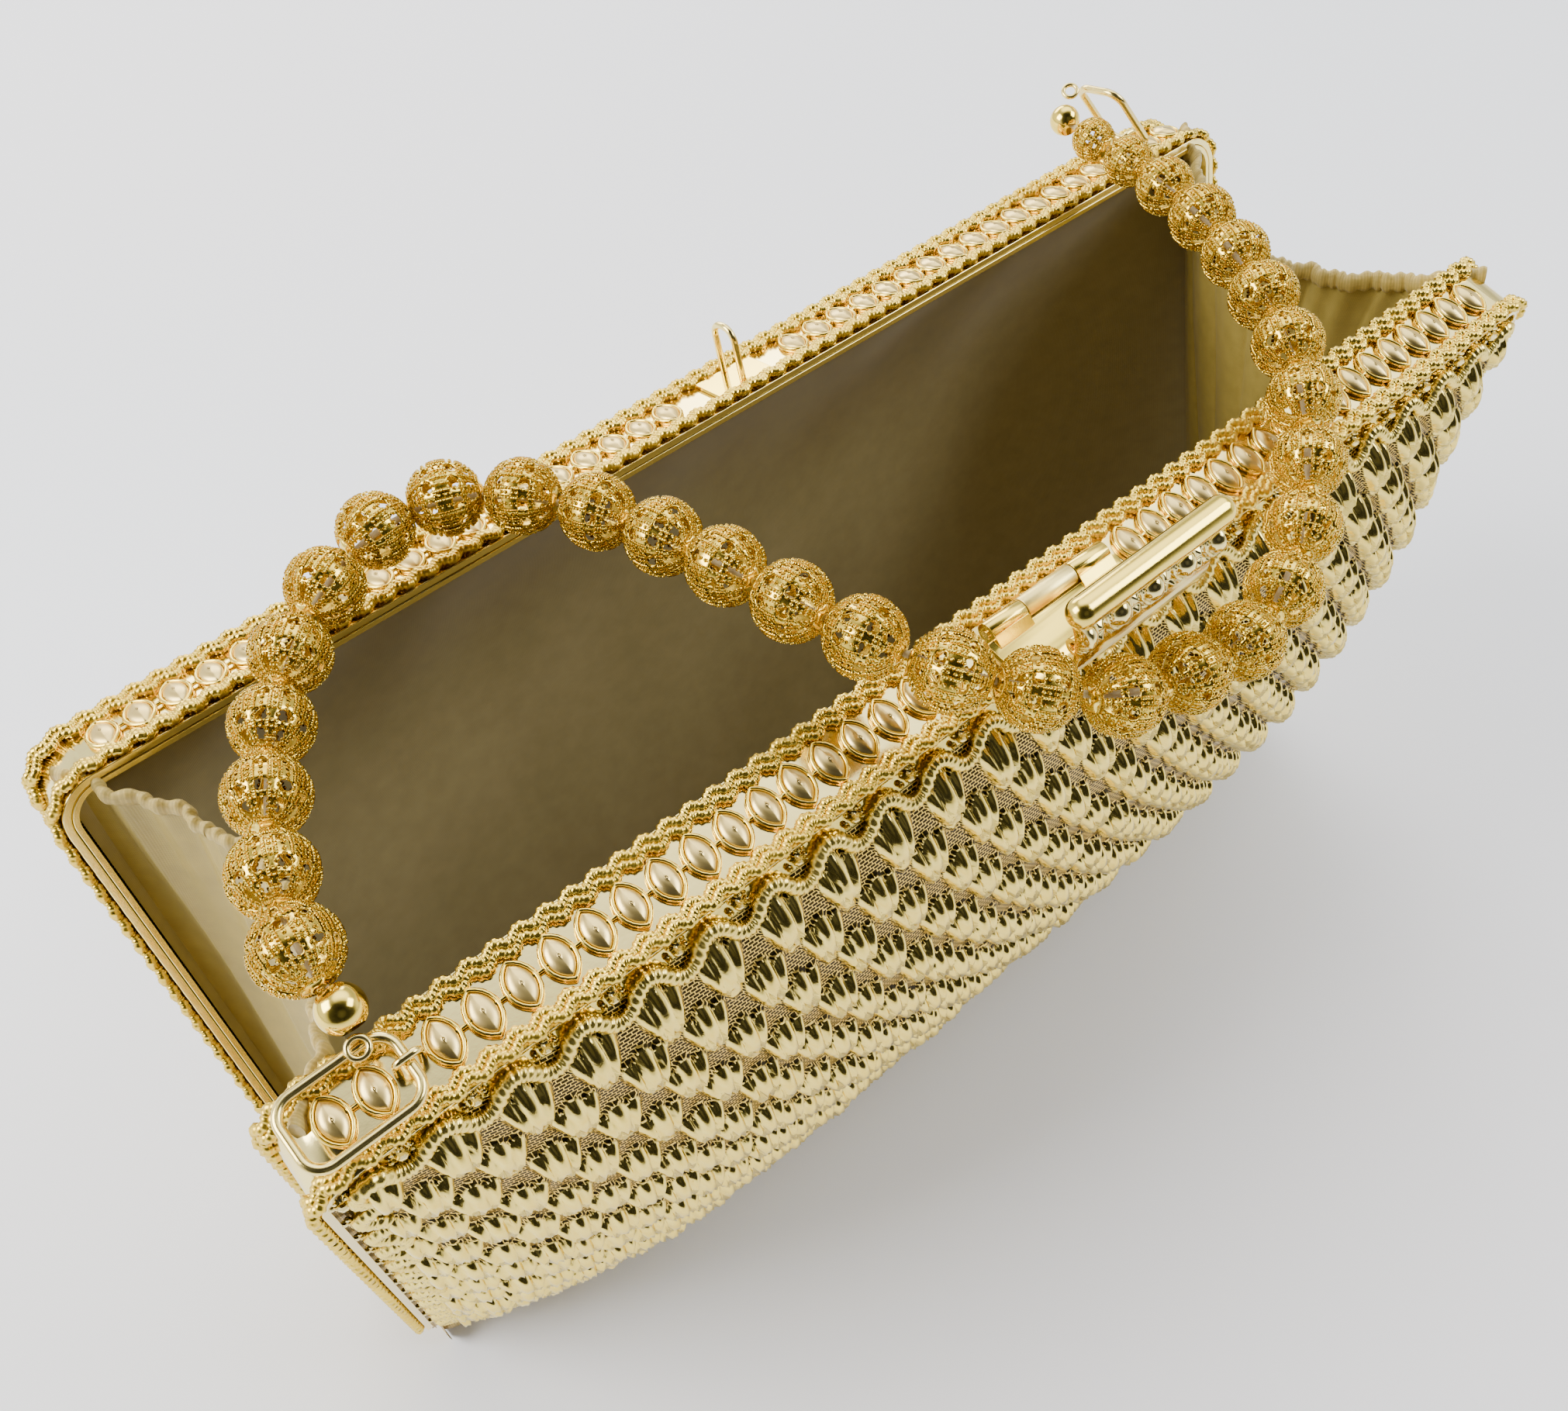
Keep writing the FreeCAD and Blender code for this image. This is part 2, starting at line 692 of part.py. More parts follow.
def main():
    make_half(front, "front", False, clasp_centre - 14, clasp_centre + 14)
    make_half(back, "back", True, -clasp_centre - 8, -clasp_centre + 8)

    save("left_staple", front(staple()))
    save("right_staple", back(staple()))
    save("left_ring", front(flat_ring(0)))
    save("right_ring", back(flat_ring(right_ring_raised)))

    save("clasp_base", front(clasp_base()))
    save("clasp_flap", front(clasp_flap()))
    pin_half = barrel_half_length + 0.2
    save("clasp_pin", front(along_barrel(-pin_half, pin_half, clasp_pin_radius)))
    save("clasp_lip", front(clasp_lip()))
    save("clasp_studs", front(clasp_studs()))
    save("catch_tubes", front(catch_tubes()))
    save("catch_loop", back(catch_loop()))
    plate_low = (-clasp_centre - 5, -8.9, frame_top + 0.05)
    plate_high = (-clasp_centre + 5, -2.9, frame_top + 0.6)
    save("catch_plate", back(box_between(plate_low, plate_high)))

    save("base_stay", base_stay())
    save("left_hinge_pin", hinge_pin(-1))
    save("right_hinge_pin", hinge_pin(1))
    save("base_board", box_between((-98, -15, 1.3), (98, 15, 2.4)))
    bottom = box_between((-100, -17, 0), (100, 17, 1.2))
    save("bottom_cover", bottom.makeFillet(0.5, bottom.Edges[:]))
    save("bottom_lining", box_between((-97, -13.5, 3.5), (97, 13.5, 4.1)))
    for side, name in ((-1, "left"), (1, "right")):
        save(name + "_gusset", gusset(side, hinge_height + 12, 115.5, 12.0, 0.6))
        save(name + "_gusset_hem", gusset(side, 115.7, 118.2, 12.0, 1.2))

    middle = middle_of(LEFT_BEADS[-1], RIGHT_BEADS[0])
    save("left_beads", bead_run(LEFT_BEADS, LEFT_BALL, middle, {}))
    save("right_beads", bead_run(RIGHT_BEADS, middle, RIGHT_BALL, SMALL_BEADS))
    save("left_core", strand_core([LEFT_BALL] + LEFT_BEADS + [middle]))
    save("right_core", strand_core([middle] + RIGHT_BEADS + [RIGHT_BALL]))
    save("left_ball", end_ball(LEFT_BALL, LEFT_BEADS[0], LEFT_LINK_END, LEFT_BALL_RADIUS))
    save("right_ball", end_ball(RIGHT_BALL, RIGHT_BEADS[-1], RIGHT_LINK_END, RIGHT_BALL_RADIUS))
    save("left_link", end_link(LEFT_LINK_END, LEFT_BALL))
    save("right_link", end_link(RIGHT_LINK_END, RIGHT_BALL))


main()
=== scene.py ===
"""Frame evening bag with shell-puffed foil panels, a gimp-edged band and an openwork bead strand.

Every half is worked out closed, as (x, depth outward from the mouth plane, z) in millimetres.
It is then swung open about the hinge and stands as the open bag does, in metres.
"""
import math

import bpy
import numpy as np
from mathutils import Matrix, Vector


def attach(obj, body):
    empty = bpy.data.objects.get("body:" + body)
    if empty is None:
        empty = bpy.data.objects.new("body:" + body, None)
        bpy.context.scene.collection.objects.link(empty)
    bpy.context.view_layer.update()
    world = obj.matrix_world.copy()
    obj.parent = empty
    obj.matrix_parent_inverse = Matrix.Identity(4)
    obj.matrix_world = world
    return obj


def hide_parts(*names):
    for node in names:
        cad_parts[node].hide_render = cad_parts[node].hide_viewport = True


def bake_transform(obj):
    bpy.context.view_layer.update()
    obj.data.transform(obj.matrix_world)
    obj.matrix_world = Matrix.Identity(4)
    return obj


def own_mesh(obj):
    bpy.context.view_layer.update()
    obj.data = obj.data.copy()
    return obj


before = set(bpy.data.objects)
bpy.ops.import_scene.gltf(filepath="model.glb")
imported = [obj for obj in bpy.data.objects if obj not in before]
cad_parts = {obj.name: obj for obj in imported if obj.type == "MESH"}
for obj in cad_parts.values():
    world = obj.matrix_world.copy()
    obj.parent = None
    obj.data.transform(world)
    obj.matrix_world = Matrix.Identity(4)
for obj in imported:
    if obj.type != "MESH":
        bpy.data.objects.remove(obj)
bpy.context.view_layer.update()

MM = 0.001
TAU = 2 * math.pi
OPEN = math.radians(13.0)
HINGE_Z = 10.0
BAND_HALF, BAND_TOP, BAND_CORNER = 105.0, 122.0, 6.0
PANEL_HALF, PANEL_LOW, PANEL_HIGH = 103.5, 9.0, 120.5
STONE_DEPTH = 5.8
HALVES = ("front", "back")

# The strand's beads, from the front left ring on
LEFT_BEADS = [
    (-93.0, -17.5, 127.5), (-90.3, -7.6, 127.0), (-86.0, 2.0, 126.6), (-80.6, 11.0, 126.4),
    (-73.8, 19.0, 126.6), (-65.6, 25.6, 126.8), (-56.0, 29.9, 127.0), (-45.9, 28.7, 127.2),
    (-38.6, 21.5, 127.6), (-33.8, 12.2, 128.2), (-31.0, 2.2, 129.2),
]
RIGHT_BEADS = [
    (-29.2, -8.0, 130.4), (-27.8, -18.3, 131.4), (-25.6, -28.5, 131.8), (-21.4, -37.8, 130.8),
    (-14.6, -45.0, 128.4), (-5.8, -50.5, 124.8), (4.0, -52.0, 122.4), (14.4, -52.6, 120.6),
    (24.8, -50.4, 120.4), (34.2, -45.8, 121.6), (42.6, -39.8, 123.6), (50.2, -32.8, 125.6),
    (56.8, -24.8, 126.9), (62.4, -16.2, 127.4), (67.4, -7.2, 127.5), (71.4, 2.2, 127.4),
    (74.2, 11.6, 127.2), (75.8, 20.4, 127.0), (76.6, 28.4, 127.0),
]
BEAD_RADIUS = 5.1
END_BEAD_RADII = {16: 4.6, 17: 4.1, 18: 3.6}
LEFT_BALL = (-92.6, -24.4, 124.2)
RIGHT_BALL = (76.9, 35.0, 127.6)


# ---------------------------------------------------------------- mesh making

def swing(points, half):
    """(x, depth, z) of a closed half as it stands in the open bag: turned by the open angle
    about the hinge line, and for the back half turned half round about Z as well."""
    p = np.asarray(points, float)
    x, depth, z = p[..., 0], p[..., 1], p[..., 2] - HINGE_Z
    y = -depth * math.cos(OPEN) - z * math.sin(OPEN)
    up = -depth * math.sin(OPEN) + z * math.cos(OPEN) + HINGE_Z
    side = 1 if half == "front" else -1
    return np.stack([side * x, side * y, up], -1) * MM


def grid_faces(rows, columns, wrap_rows=False, wrap_columns=False):
    """Quads of a rows by columns grid, joined to its start where it wraps."""
    i = np.arange(rows if wrap_rows else rows - 1)[:, None]
    j = np.arange(columns if wrap_columns else columns - 1)[None, :]
    i_next, j_next = (i + 1) % rows, (j + 1) % columns
    corners = [i * columns + j, i_next * columns + j, i_next * columns + j_next, i * columns + j_next]
    return np.stack(np.broadcast_arrays(*corners), -1).reshape(-1, 4)


def spread(low, high, count, other_low, other_high, other_count):
    """Two even runs of values crossed into a grid, the first down the rows."""
    rows = np.linspace(low, high, count)[:, None]
    return np.broadcast_arrays(rows, np.linspace(other_low, other_high, other_count)[None, :])


def fan_faces(ring, middle):
    """Triangles from a ring of points to one point in its middle."""
    ring = np.asarray(ring)
    return np.stack([ring, np.roll(ring, -1), np.full(len(ring), middle)], -1)


def listed(faces):
    """One array of faces as a list of one, and a list as it is."""
    return faces if isinstance(faces, list) else [faces]


def signed_volume(points, groups):
    """Sum of the tetrahedra from the origin to each triangle: above 0 when faces point out."""
    total = 0.0
    for faces in groups:
        p = points[faces]
        for k in range(1, p.shape[1] - 1):
            total += float((p[:, 0] * np.cross(p[:, k], p[:, k + 1])).sum())
    return total


def build(name, points, faces, material, body=None, towards=None, smooth=True,
          uv=None, marks=None):
    """A piece from points in metres and arrays of faces. Closed shapes are turned so that their
    volume is above 0, and open ones so that they face a given way."""
    points = np.asarray(points, float).reshape(-1, 3)
    groups = [np.asarray(f, np.int64) for f in listed(faces)]
    if towards is None:
        inside_out = signed_volume(points - points.mean(0), groups) < 0
    else:
        p = points[groups[0]]
        normals = np.cross(p[:, 1] - p[:, 0], p[:, 2] - p[:, 0])
        inside_out = float((normals @ np.asarray(towards, float)).sum()) < 0
    if inside_out:
        groups = [g[:, ::-1] for g in groups]
    sizes = np.concatenate([np.full(len(g), g.shape[1]) for g in groups])
    mesh = bpy.data.meshes.new(name)
    mesh.vertices.add(len(points))
    mesh.vertices.foreach_set("co", points.astype(np.float32).ravel())
    corners = np.concatenate([g.ravel() for g in groups]).astype(np.int32)
    mesh.loops.add(len(corners))
    mesh.loops.foreach_set("vertex_index", corners)
    mesh.polygons.add(len(sizes))
    mesh.polygons.foreach_set("loop_start", np.concatenate([[0], np.cumsum(sizes)[:-1]]).astype(np.int32))
    mesh.update(calc_edges=True)
    mesh.polygons.foreach_set("use_smooth", np.full(len(sizes), smooth))
    if uv is not None:
        layer = mesh.uv_layers.new(name="cloth")
        layer.data.foreach_set("uv", np.asarray(uv, np.float32).reshape(-1, 2)[corners].ravel())
    for key, values in (marks or {}).items():
        mark = mesh.attributes.new(key, "FLOAT", "POINT")
        mark.data.foreach_set("value", np.asarray(values, np.float32).ravel())
    piece = bpy.data.objects.new(name, mesh)
    bpy.context.scene.collection.objects.link(piece)
    mesh.materials.append(material)
    if body:
        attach(piece, body)
    return piece


def tube(path, outward, wide, high, sides):
    """A closed tube along a path: each ring is the path point, plus across times wide times
    the cosine, plus outward times high times the sine of the angle round it."""
    path = np.asarray(path, float)
    way = np.gradient(path, axis=0)
    way /= np.linalg.norm(way, axis=1)[:, None]
    outward = outward - (outward * way).sum(1)[:, None] * way
    outward /= np.linalg.norm(outward, axis=1)[:, None]
    across = np.cross(way, outward)
    angle = np.arange(sides) / sides * TAU
    wide = np.broadcast_to(wide, (len(path), sides))
    high = np.broadcast_to(high, (len(path), sides))
    rings = (path[:, None] + across[:, None] * (wide * np.cos(angle))[..., None]
             + outward[:, None] * (high * np.sin(angle))[..., None])
    points = np.concatenate([rings.reshape(-1, 3), path[:1], path[-1:]])
    count = len(path) * sides
    first, last = np.arange(sides), np.arange(count - sides, count)
    faces = [grid_faces(len(path), sides, wrap_columns=True)]
    faces.append(fan_faces(first[::-1], count))
    faces.append(fan_faces(last, count + 1))
    return points, faces


def joined(parts):
    """Several (points, faces) shapes as one."""
    points, groups, start = [], {}, 0
    for part, faces in parts:
        for f in listed(faces):
            groups.setdefault(f.shape[1], []).append(f + start)
        points.append(part)
        start += len(part)
    return np.concatenate(points), [np.concatenate(g) for g in groups.values()]


def repeated(shape, places, axes=None, sizes=None):
    """One small shape set at many places: place + size times (shape turned by its axes)."""
    points, faces = shape
    places = np.asarray(places, float)
    axes = np.broadcast_to(np.eye(3) if axes is None else axes, (len(places), 3, 3))
    sizes = np.ones(len(places)) if sizes is None else np.asarray(sizes, float)
    turned = np.einsum("nk,mkj->mnj", points, axes) * sizes[:, None, None] + places[:, None]
    shift = np.arange(len(places))[:, None, None] * len(points)
    groups = [(f[None] + shift).reshape(-1, f.shape[1]) for f in listed(faces)]
    return turned.reshape(-1, 3), groups


def ball_shape(rings=4, sides=8):
    """A unit ball from rings of latitude and its two poles."""
    lat = (np.arange(1, rings + 1) / (rings + 1) - 0.5) * math.pi
    lon = np.arange(sides) / sides * TAU
    a, b = np.meshgrid(lat, lon, indexing="ij")
    points = np.stack([np.cos(a) * np.cos(b), np.cos(a) * np.sin(b), np.sin(a)], -1).reshape(-1, 3)
    points = np.concatenate([points, [[0, 0, -1], [0, 0, 1]]])
    count = rings * sides
    faces = [grid_faces(rings, sides, wrap_columns=True)]
    faces.append(fan_faces(np.arange(sides)[::-1], count))
    faces.append(fan_faces(np.arange(count - sides, count), count + 1))
    return points, faces


def scatter_noise(*values):
    """A steady value from 0 to 1 for each set of whole numbers."""
    total = sum(v * k for v, k in zip(values, (12.9898, 78.233, 37.719)))
    return np.modf(np.abs(np.sin(total) * 43758.5453))[0]


def arch(step, foot, half, top, corner):
    """The U line over one half: up the left arm, round a quarter circle, along the bar, round
    and down the right arm. Gives x, z, the outward normal and the run from the bar's middle."""
    arm, bar, bend = top - corner - foot, 2 * (half - corner), corner * math.pi / 2
    total = 2 * arm + 2 * bend + bar
    run = np.linspace(0, total, int(total / step) + 1)
    mirrored = np.minimum(run, total - run)
    side = np.where(run < total / 2, -1.0, 1.0)
    turn = np.clip((mirrored - arm) / corner, 0, math.pi / 2)
    along = np.clip(mirrored - arm - bend, 0, None)
    x = -half + corner - corner * np.cos(turn) + along
    z = foot + np.clip(mirrored, 0, arm) + corner * np.sin(turn)
    normal = np.stack([side * np.cos(turn), np.zeros_like(turn), np.sin(turn)], -1)
    return -side * x, z, normal, run - total / 2


# ---------------------------------------------------------------- materials

def new_group(name, inputs, outputs):
    """A shader node group with float or colour sockets, its input and its output nodes."""
    group = bpy.data.node_groups.new(name, "ShaderNodeTree")
    for title, kind, value in inputs:
        made = group.interface.new_socket(title, in_out="INPUT", socket_type=kind)
        made.default_value = value
    for title, kind in outputs:
        group.interface.new_socket(title, in_out="OUTPUT", socket_type=kind)
    return group, group.nodes.new("NodeGroupInput"), group.nodes.new("NodeGroupOutput")


def wire(tree, socket, value):
    """Links an output to a socket, or sets a number or a colour on it."""
    if isinstance(value, bpy.types.NodeSocket):
        tree.links.new(value, socket)
    else:
        socket.default_value = value


def node(tree, kind, feeds=(), **values):
    """A node with its properties and socket values set, and then fed by (socket, value) pairs."""
    made = tree.nodes.new(kind)
    for key, value in values.items():
        if hasattr(made, key) and key not in made.inputs:
            setattr(made, key, value)
        else:
            made.inputs[key.replace("_", " ") if key not in made.inputs else key].default_value = value
    for socket, value in feeds:
        wire(tree, made.inputs[socket], value)
    return made


def fed(tree, shader, **values):
    """Feeds a shader's sockets, named with _ for a space."""
    for key, value in values.items():
        wire(tree, shader.inputs[key.replace("_", " ")], value)


def ramp(tree, source, stops):
    """A colour ramp with the given (position, grey or colour) stops."""
    made = tree.nodes.new("ShaderNodeValToRGB")
    tree.links.new(source, made.inputs["Fac"])
    band = made.color_ramp
    while len(band.elements) < len(stops):
        band.elements.new(0.5)
    for element, (place, tone) in zip(band.elements, stops):
        element.position = place
        element.color = (*tone, 1) if hasattr(tone, "__len__") else (tone, tone, tone, 1)
    return made


# A colour mix's own sockets, by their place among those of all its kinds
MIX_LOW, MIX_HIGH, MIX_RESULT = 6, 7, 2


def mixed(tree, factor, low, high, blend="MIX"):
    """The output of a colour mix that goes from low to high with the factor."""
    mix = node(tree, "ShaderNodeMix", [("Factor", factor), (MIX_LOW, low), (MIX_HIGH, high)],
               data_type="RGBA", blend_type=blend)
    return mix.outputs[MIX_RESULT]


def worked(tree, operation, *values):
    """The output of one step of arithmetic."""
    return node(tree, "ShaderNodeMath", enumerate(values), operation=operation).outputs[0]


COLOUR, FLOAT, VECTOR = "NodeSocketColor", "NodeSocketFloat", "NodeSocketVector"

# Plating: slow colour drift, fine hairlines and dull spots on metal
PLATING, entry, end = new_group(
    "plating", [("Tone", COLOUR, (1, 0.8, 0.4, 1)), ("Worn Tone", COLOUR, (0.8, 0.7, 0.5, 1)),
                ("Roughness", FLOAT, 0.15), ("Grain", FLOAT, 900.0), ("Vector", VECTOR, (0, 0, 0))],
    [("Color", COLOUR), ("Roughness", FLOAT), ("Height", FLOAT)])
drift = node(PLATING, "ShaderNodeTexNoise", [("Vector", entry.outputs["Vector"])], Scale=90.0, Detail=3.0)
hair = node(PLATING, "ShaderNodeTexNoise",
            [("Vector", entry.outputs["Vector"]), ("Scale", entry.outputs["Grain"])],
            Detail=4.0, Roughness=0.65)
worn = ramp(PLATING, drift.outputs["Fac"], [(0.42, 0.0), (0.72, 1.0)])
tint = mixed(PLATING, worn.outputs["Color"], entry.outputs["Tone"], entry.outputs["Worn Tone"])
PLATING.links.new(tint, end.inputs["Color"])
haze = worked(PLATING, "MULTIPLY", hair.outputs["Fac"], entry.outputs["Roughness"])
haze = worked(PLATING, "MULTIPLY", worn.outputs["Color"], haze)
PLATING.links.new(worked(PLATING, "ADD", entry.outputs["Roughness"], haze), end.inputs["Roughness"])
PLATING.links.new(hair.outputs["Fac"], end.inputs["Height"])

# Weave: two crossed sets of threads and a slow mottling. Its colour falls to the Shade colour between the threads,
# which is painted shade in the weave's gaps, and also where the mottling is low, which is uneven tone
WEAVE, entry, end = new_group(
    "weave", [("Tone", COLOUR, (0.5, 0.4, 0.2, 1)), ("Shade", COLOUR, (0.3, 0.24, 0.1, 1)),
              ("Threads", FLOAT, 3.0), ("Vector", VECTOR, (0, 0, 0))],
    [("Color", COLOUR), ("Height", FLOAT), ("Mottle", FLOAT)])
warp, weft = (
    node(WEAVE, "ShaderNodeTexWave", [("Vector", entry.outputs["Vector"]), ("Scale", entry.outputs["Threads"])],
         wave_type="BANDS", bands_direction=way, wave_profile="SIN", Distortion=0.6, Detail=1.0)
    for way in "XY")
crossing = worked(WEAVE, "MAXIMUM", warp.outputs["Fac"], weft.outputs["Fac"])
mottle = node(WEAVE, "ShaderNodeTexNoise", [("Vector", entry.outputs["Vector"])],
              Scale=3.0, Detail=5.0, Roughness=0.6)
# The darker Shade colour where neither set of threads rises is painted shade between the threads; where the
# mottling is low it is uneven tone
gap_shade_and_mottle = ramp(WEAVE, worked(WEAVE, "MULTIPLY", crossing, mottle.outputs["Fac"]), [(0.18, 0.0), (0.62, 1.0)])
cloth_tone = mixed(WEAVE, gap_shade_and_mottle.outputs["Color"], entry.outputs["Shade"], entry.outputs["Tone"])
WEAVE.links.new(cloth_tone, end.inputs["Color"])
WEAVE.links.new(crossing, end.inputs["Height"])
WEAVE.links.new(mottle.outputs["Fac"], end.inputs["Mottle"])


def new_material(name):
    """A material, its node tree and its Principled shader."""
    material = bpy.data.materials.new(name)
    material.use_nodes = True
    tree = material.node_tree
    shader = tree.nodes["Principled BSDF"]
    return material, tree, shader


def plated(name, tone, worn_tone, roughness, grain=900.0, bump=0.04):
    """Metal with drifting plating colour, haze and fine hairlines."""
    material, tree, shader = new_material(name)
    place = node(tree, "ShaderNodeTexCoord")
    plating = node(tree, "ShaderNodeGroup", [("Vector", place.outputs["Object"])], node_tree=PLATING,
                   Tone=(*tone, 1), Worn_Tone=(*worn_tone, 1), Roughness=roughness, Grain=grain)
    ripple = node(tree, "ShaderNodeBump", [("Height", plating.outputs["Height"])],
                  Strength=bump, Distance=0.0002)
    fed(tree, shader, Base_Color=plating.outputs["Color"], Roughness=plating.outputs["Roughness"],
        Normal=ripple.outputs["Normal"], Metallic=1.0)
    return material


def woven(name, tone, shade, threads, roughness, sheen, bump=0.25, metallic=0.0):
    """Satin or fine cloth on the piece's own cloth map, one unit to ten millimetres."""
    material, tree, shader = new_material(name)
    place = node(tree, "ShaderNodeUVMap", uv_map="cloth")
    weave = node(tree, "ShaderNodeGroup", [("Vector", place.outputs["UV"])], node_tree=WEAVE,
                 Tone=(*tone, 1), Shade=(*shade, 1), Threads=threads)
    dull = node(tree, "ShaderNodeMapRange", [("Value", weave.outputs["Mottle"])],
                To_Min=roughness - 0.08, To_Max=roughness + 0.12)
    ripple = node(tree, "ShaderNodeBump", [("Height", weave.outputs["Height"])],
                  Strength=bump, Distance=0.0001)
    fed(tree, shader, Base_Color=weave.outputs["Color"], Roughness=dull.outputs["Result"],
        Normal=ripple.outputs["Normal"], Metallic=metallic, Sheen_Weight=sheen, Sheen_Roughness=0.4)
    return material


def shell_foil():
    """Puffed foil shells over an open net of gold wires whose openings are near black, painted shade for the
    hollows between the shells: the puff mark mixes the two.
    """
    material, tree, shader = new_material("shell_foil")
    place = node(tree, "ShaderNodeUVMap", uv_map="cloth")
    puff = node(tree, "ShaderNodeAttribute", attribute_name="puff", attribute_type="GEOMETRY")
    # Color1 and Color2, the net's openings between its gold wires, are near black: painted shade in the hollows
    # between the shells
    net_and_painted_shade = node(tree, "ShaderNodeTexBrick", [("Vector", place.outputs["UV"])], offset=0.5, Scale=1.0,
               Color1=(0.035, 0.024, 0.006, 1), Color2=(0.02, 0.014, 0.005, 1), Mortar=(0.90, 0.62, 0.13, 1),
               Mortar_Size=0.0068, Mortar_Smooth=0.25, Brick_Width=0.084, Row_Height=0.05)
    crinkle = node(tree, "ShaderNodeTexNoise", [("Vector", place.outputs["UV"])], Scale=9.0, Detail=3.0)
    foil = ramp(tree, crinkle.outputs["Fac"], [(0.3, (0.89, 0.66, 0.13)), (0.7, (0.94, 0.75, 0.20))])
    is_foil = ramp(tree, puff.outputs["Fac"], [(0.15, 0.0), (0.24, 1.0)])
    tone = mixed(tree, is_foil.outputs["Color"], net_and_painted_shade.outputs["Color"], foil.outputs["Color"])
    rough = node(tree, "ShaderNodeMapRange", [("Value", is_foil.outputs["Color"])], To_Min=0.30, To_Max=0.13)
    wires = worked(tree, "MULTIPLY", net_and_painted_shade.outputs["Fac"], worked(tree, "SUBTRACT", 1.0, is_foil.outputs["Color"]))
    ripple = node(tree, "ShaderNodeBump", [("Height", wires)], Strength=0.7, Distance=0.00018)
    fine = node(tree, "ShaderNodeBump", [("Height", crinkle.outputs["Fac"]), ("Normal", ripple.outputs["Normal"])],
                Strength=0.12, Distance=0.0004)
    fed(tree, shader, Base_Color=tone, Roughness=rough.outputs["Result"], Normal=fine.outputs["Normal"],
        Metallic=1.0)
    return material


gold_plate = plated("gold_plate", (0.95, 0.71, 0.12), (0.92, 0.67, 0.12), 0.13)
pale_plate = plated("pale_plate", (1.0, 0.83, 0.32), (0.98, 0.80, 0.28), 0.12)
satin_gold = plated("satin_gold", (0.96, 0.78, 0.28), (0.90, 0.72, 0.25), 0.34, grain=2600.0, bump=0.12)
wire_gold = plated("wire_gold", (1.0, 0.80, 0.26), (0.94, 0.74, 0.25), 0.18)
gimp_gold = plated("gimp_gold", (0.88, 0.63, 0.085), (0.82, 0.56, 0.07), 0.24, grain=3200.0, bump=0.1)
gimp_pale = plated("gimp_pale", (0.95, 0.74, 0.17), (0.90, 0.68, 0.15), 0.22, grain=3200.0, bump=0.1)
stone_dome = plated("stone_dome", (0.82, 0.62, 0.22), (0.76, 0.57, 0.20), 0.28, grain=500.0, bump=0.02)
bead_gold = plated("bead_gold", (0.88, 0.63, 0.085), (0.82, 0.56, 0.065), 0.17, grain=1500.0, bump=0.06)
stay_steel = plated("stay_steel", (0.75, 0.72, 0.66), (0.6, 0.56, 0.5), 0.35)
foil = shell_foil()
lining_satin = woven("lining_satin", (0.38, 0.31, 0.145), (0.30, 0.245, 0.11), 16.0, 0.52, 0.35, 0.12)
gusset_satin = woven("gusset_satin", (0.50, 0.38, 0.09), (0.36, 0.27, 0.055), 14.0, 0.42, 0.12, 0.2)
hem_satin = woven("hem_satin", (0.66, 0.49, 0.13), (0.42, 0.31, 0.07), 10.0, 0.45, 0.2, 0.3)
base_cloth = woven("base_cloth", (0.85, 0.63, 0.17), (0.40, 0.29, 0.08), 8.0, 0.38, 0.2, 0.5, 0.7)
thread = woven("strand_thread", (0.8, 0.66, 0.36), (0.6, 0.48, 0.24), 10.0, 0.5, 0.2)


# ---------------------------------------------------------------- camera and light

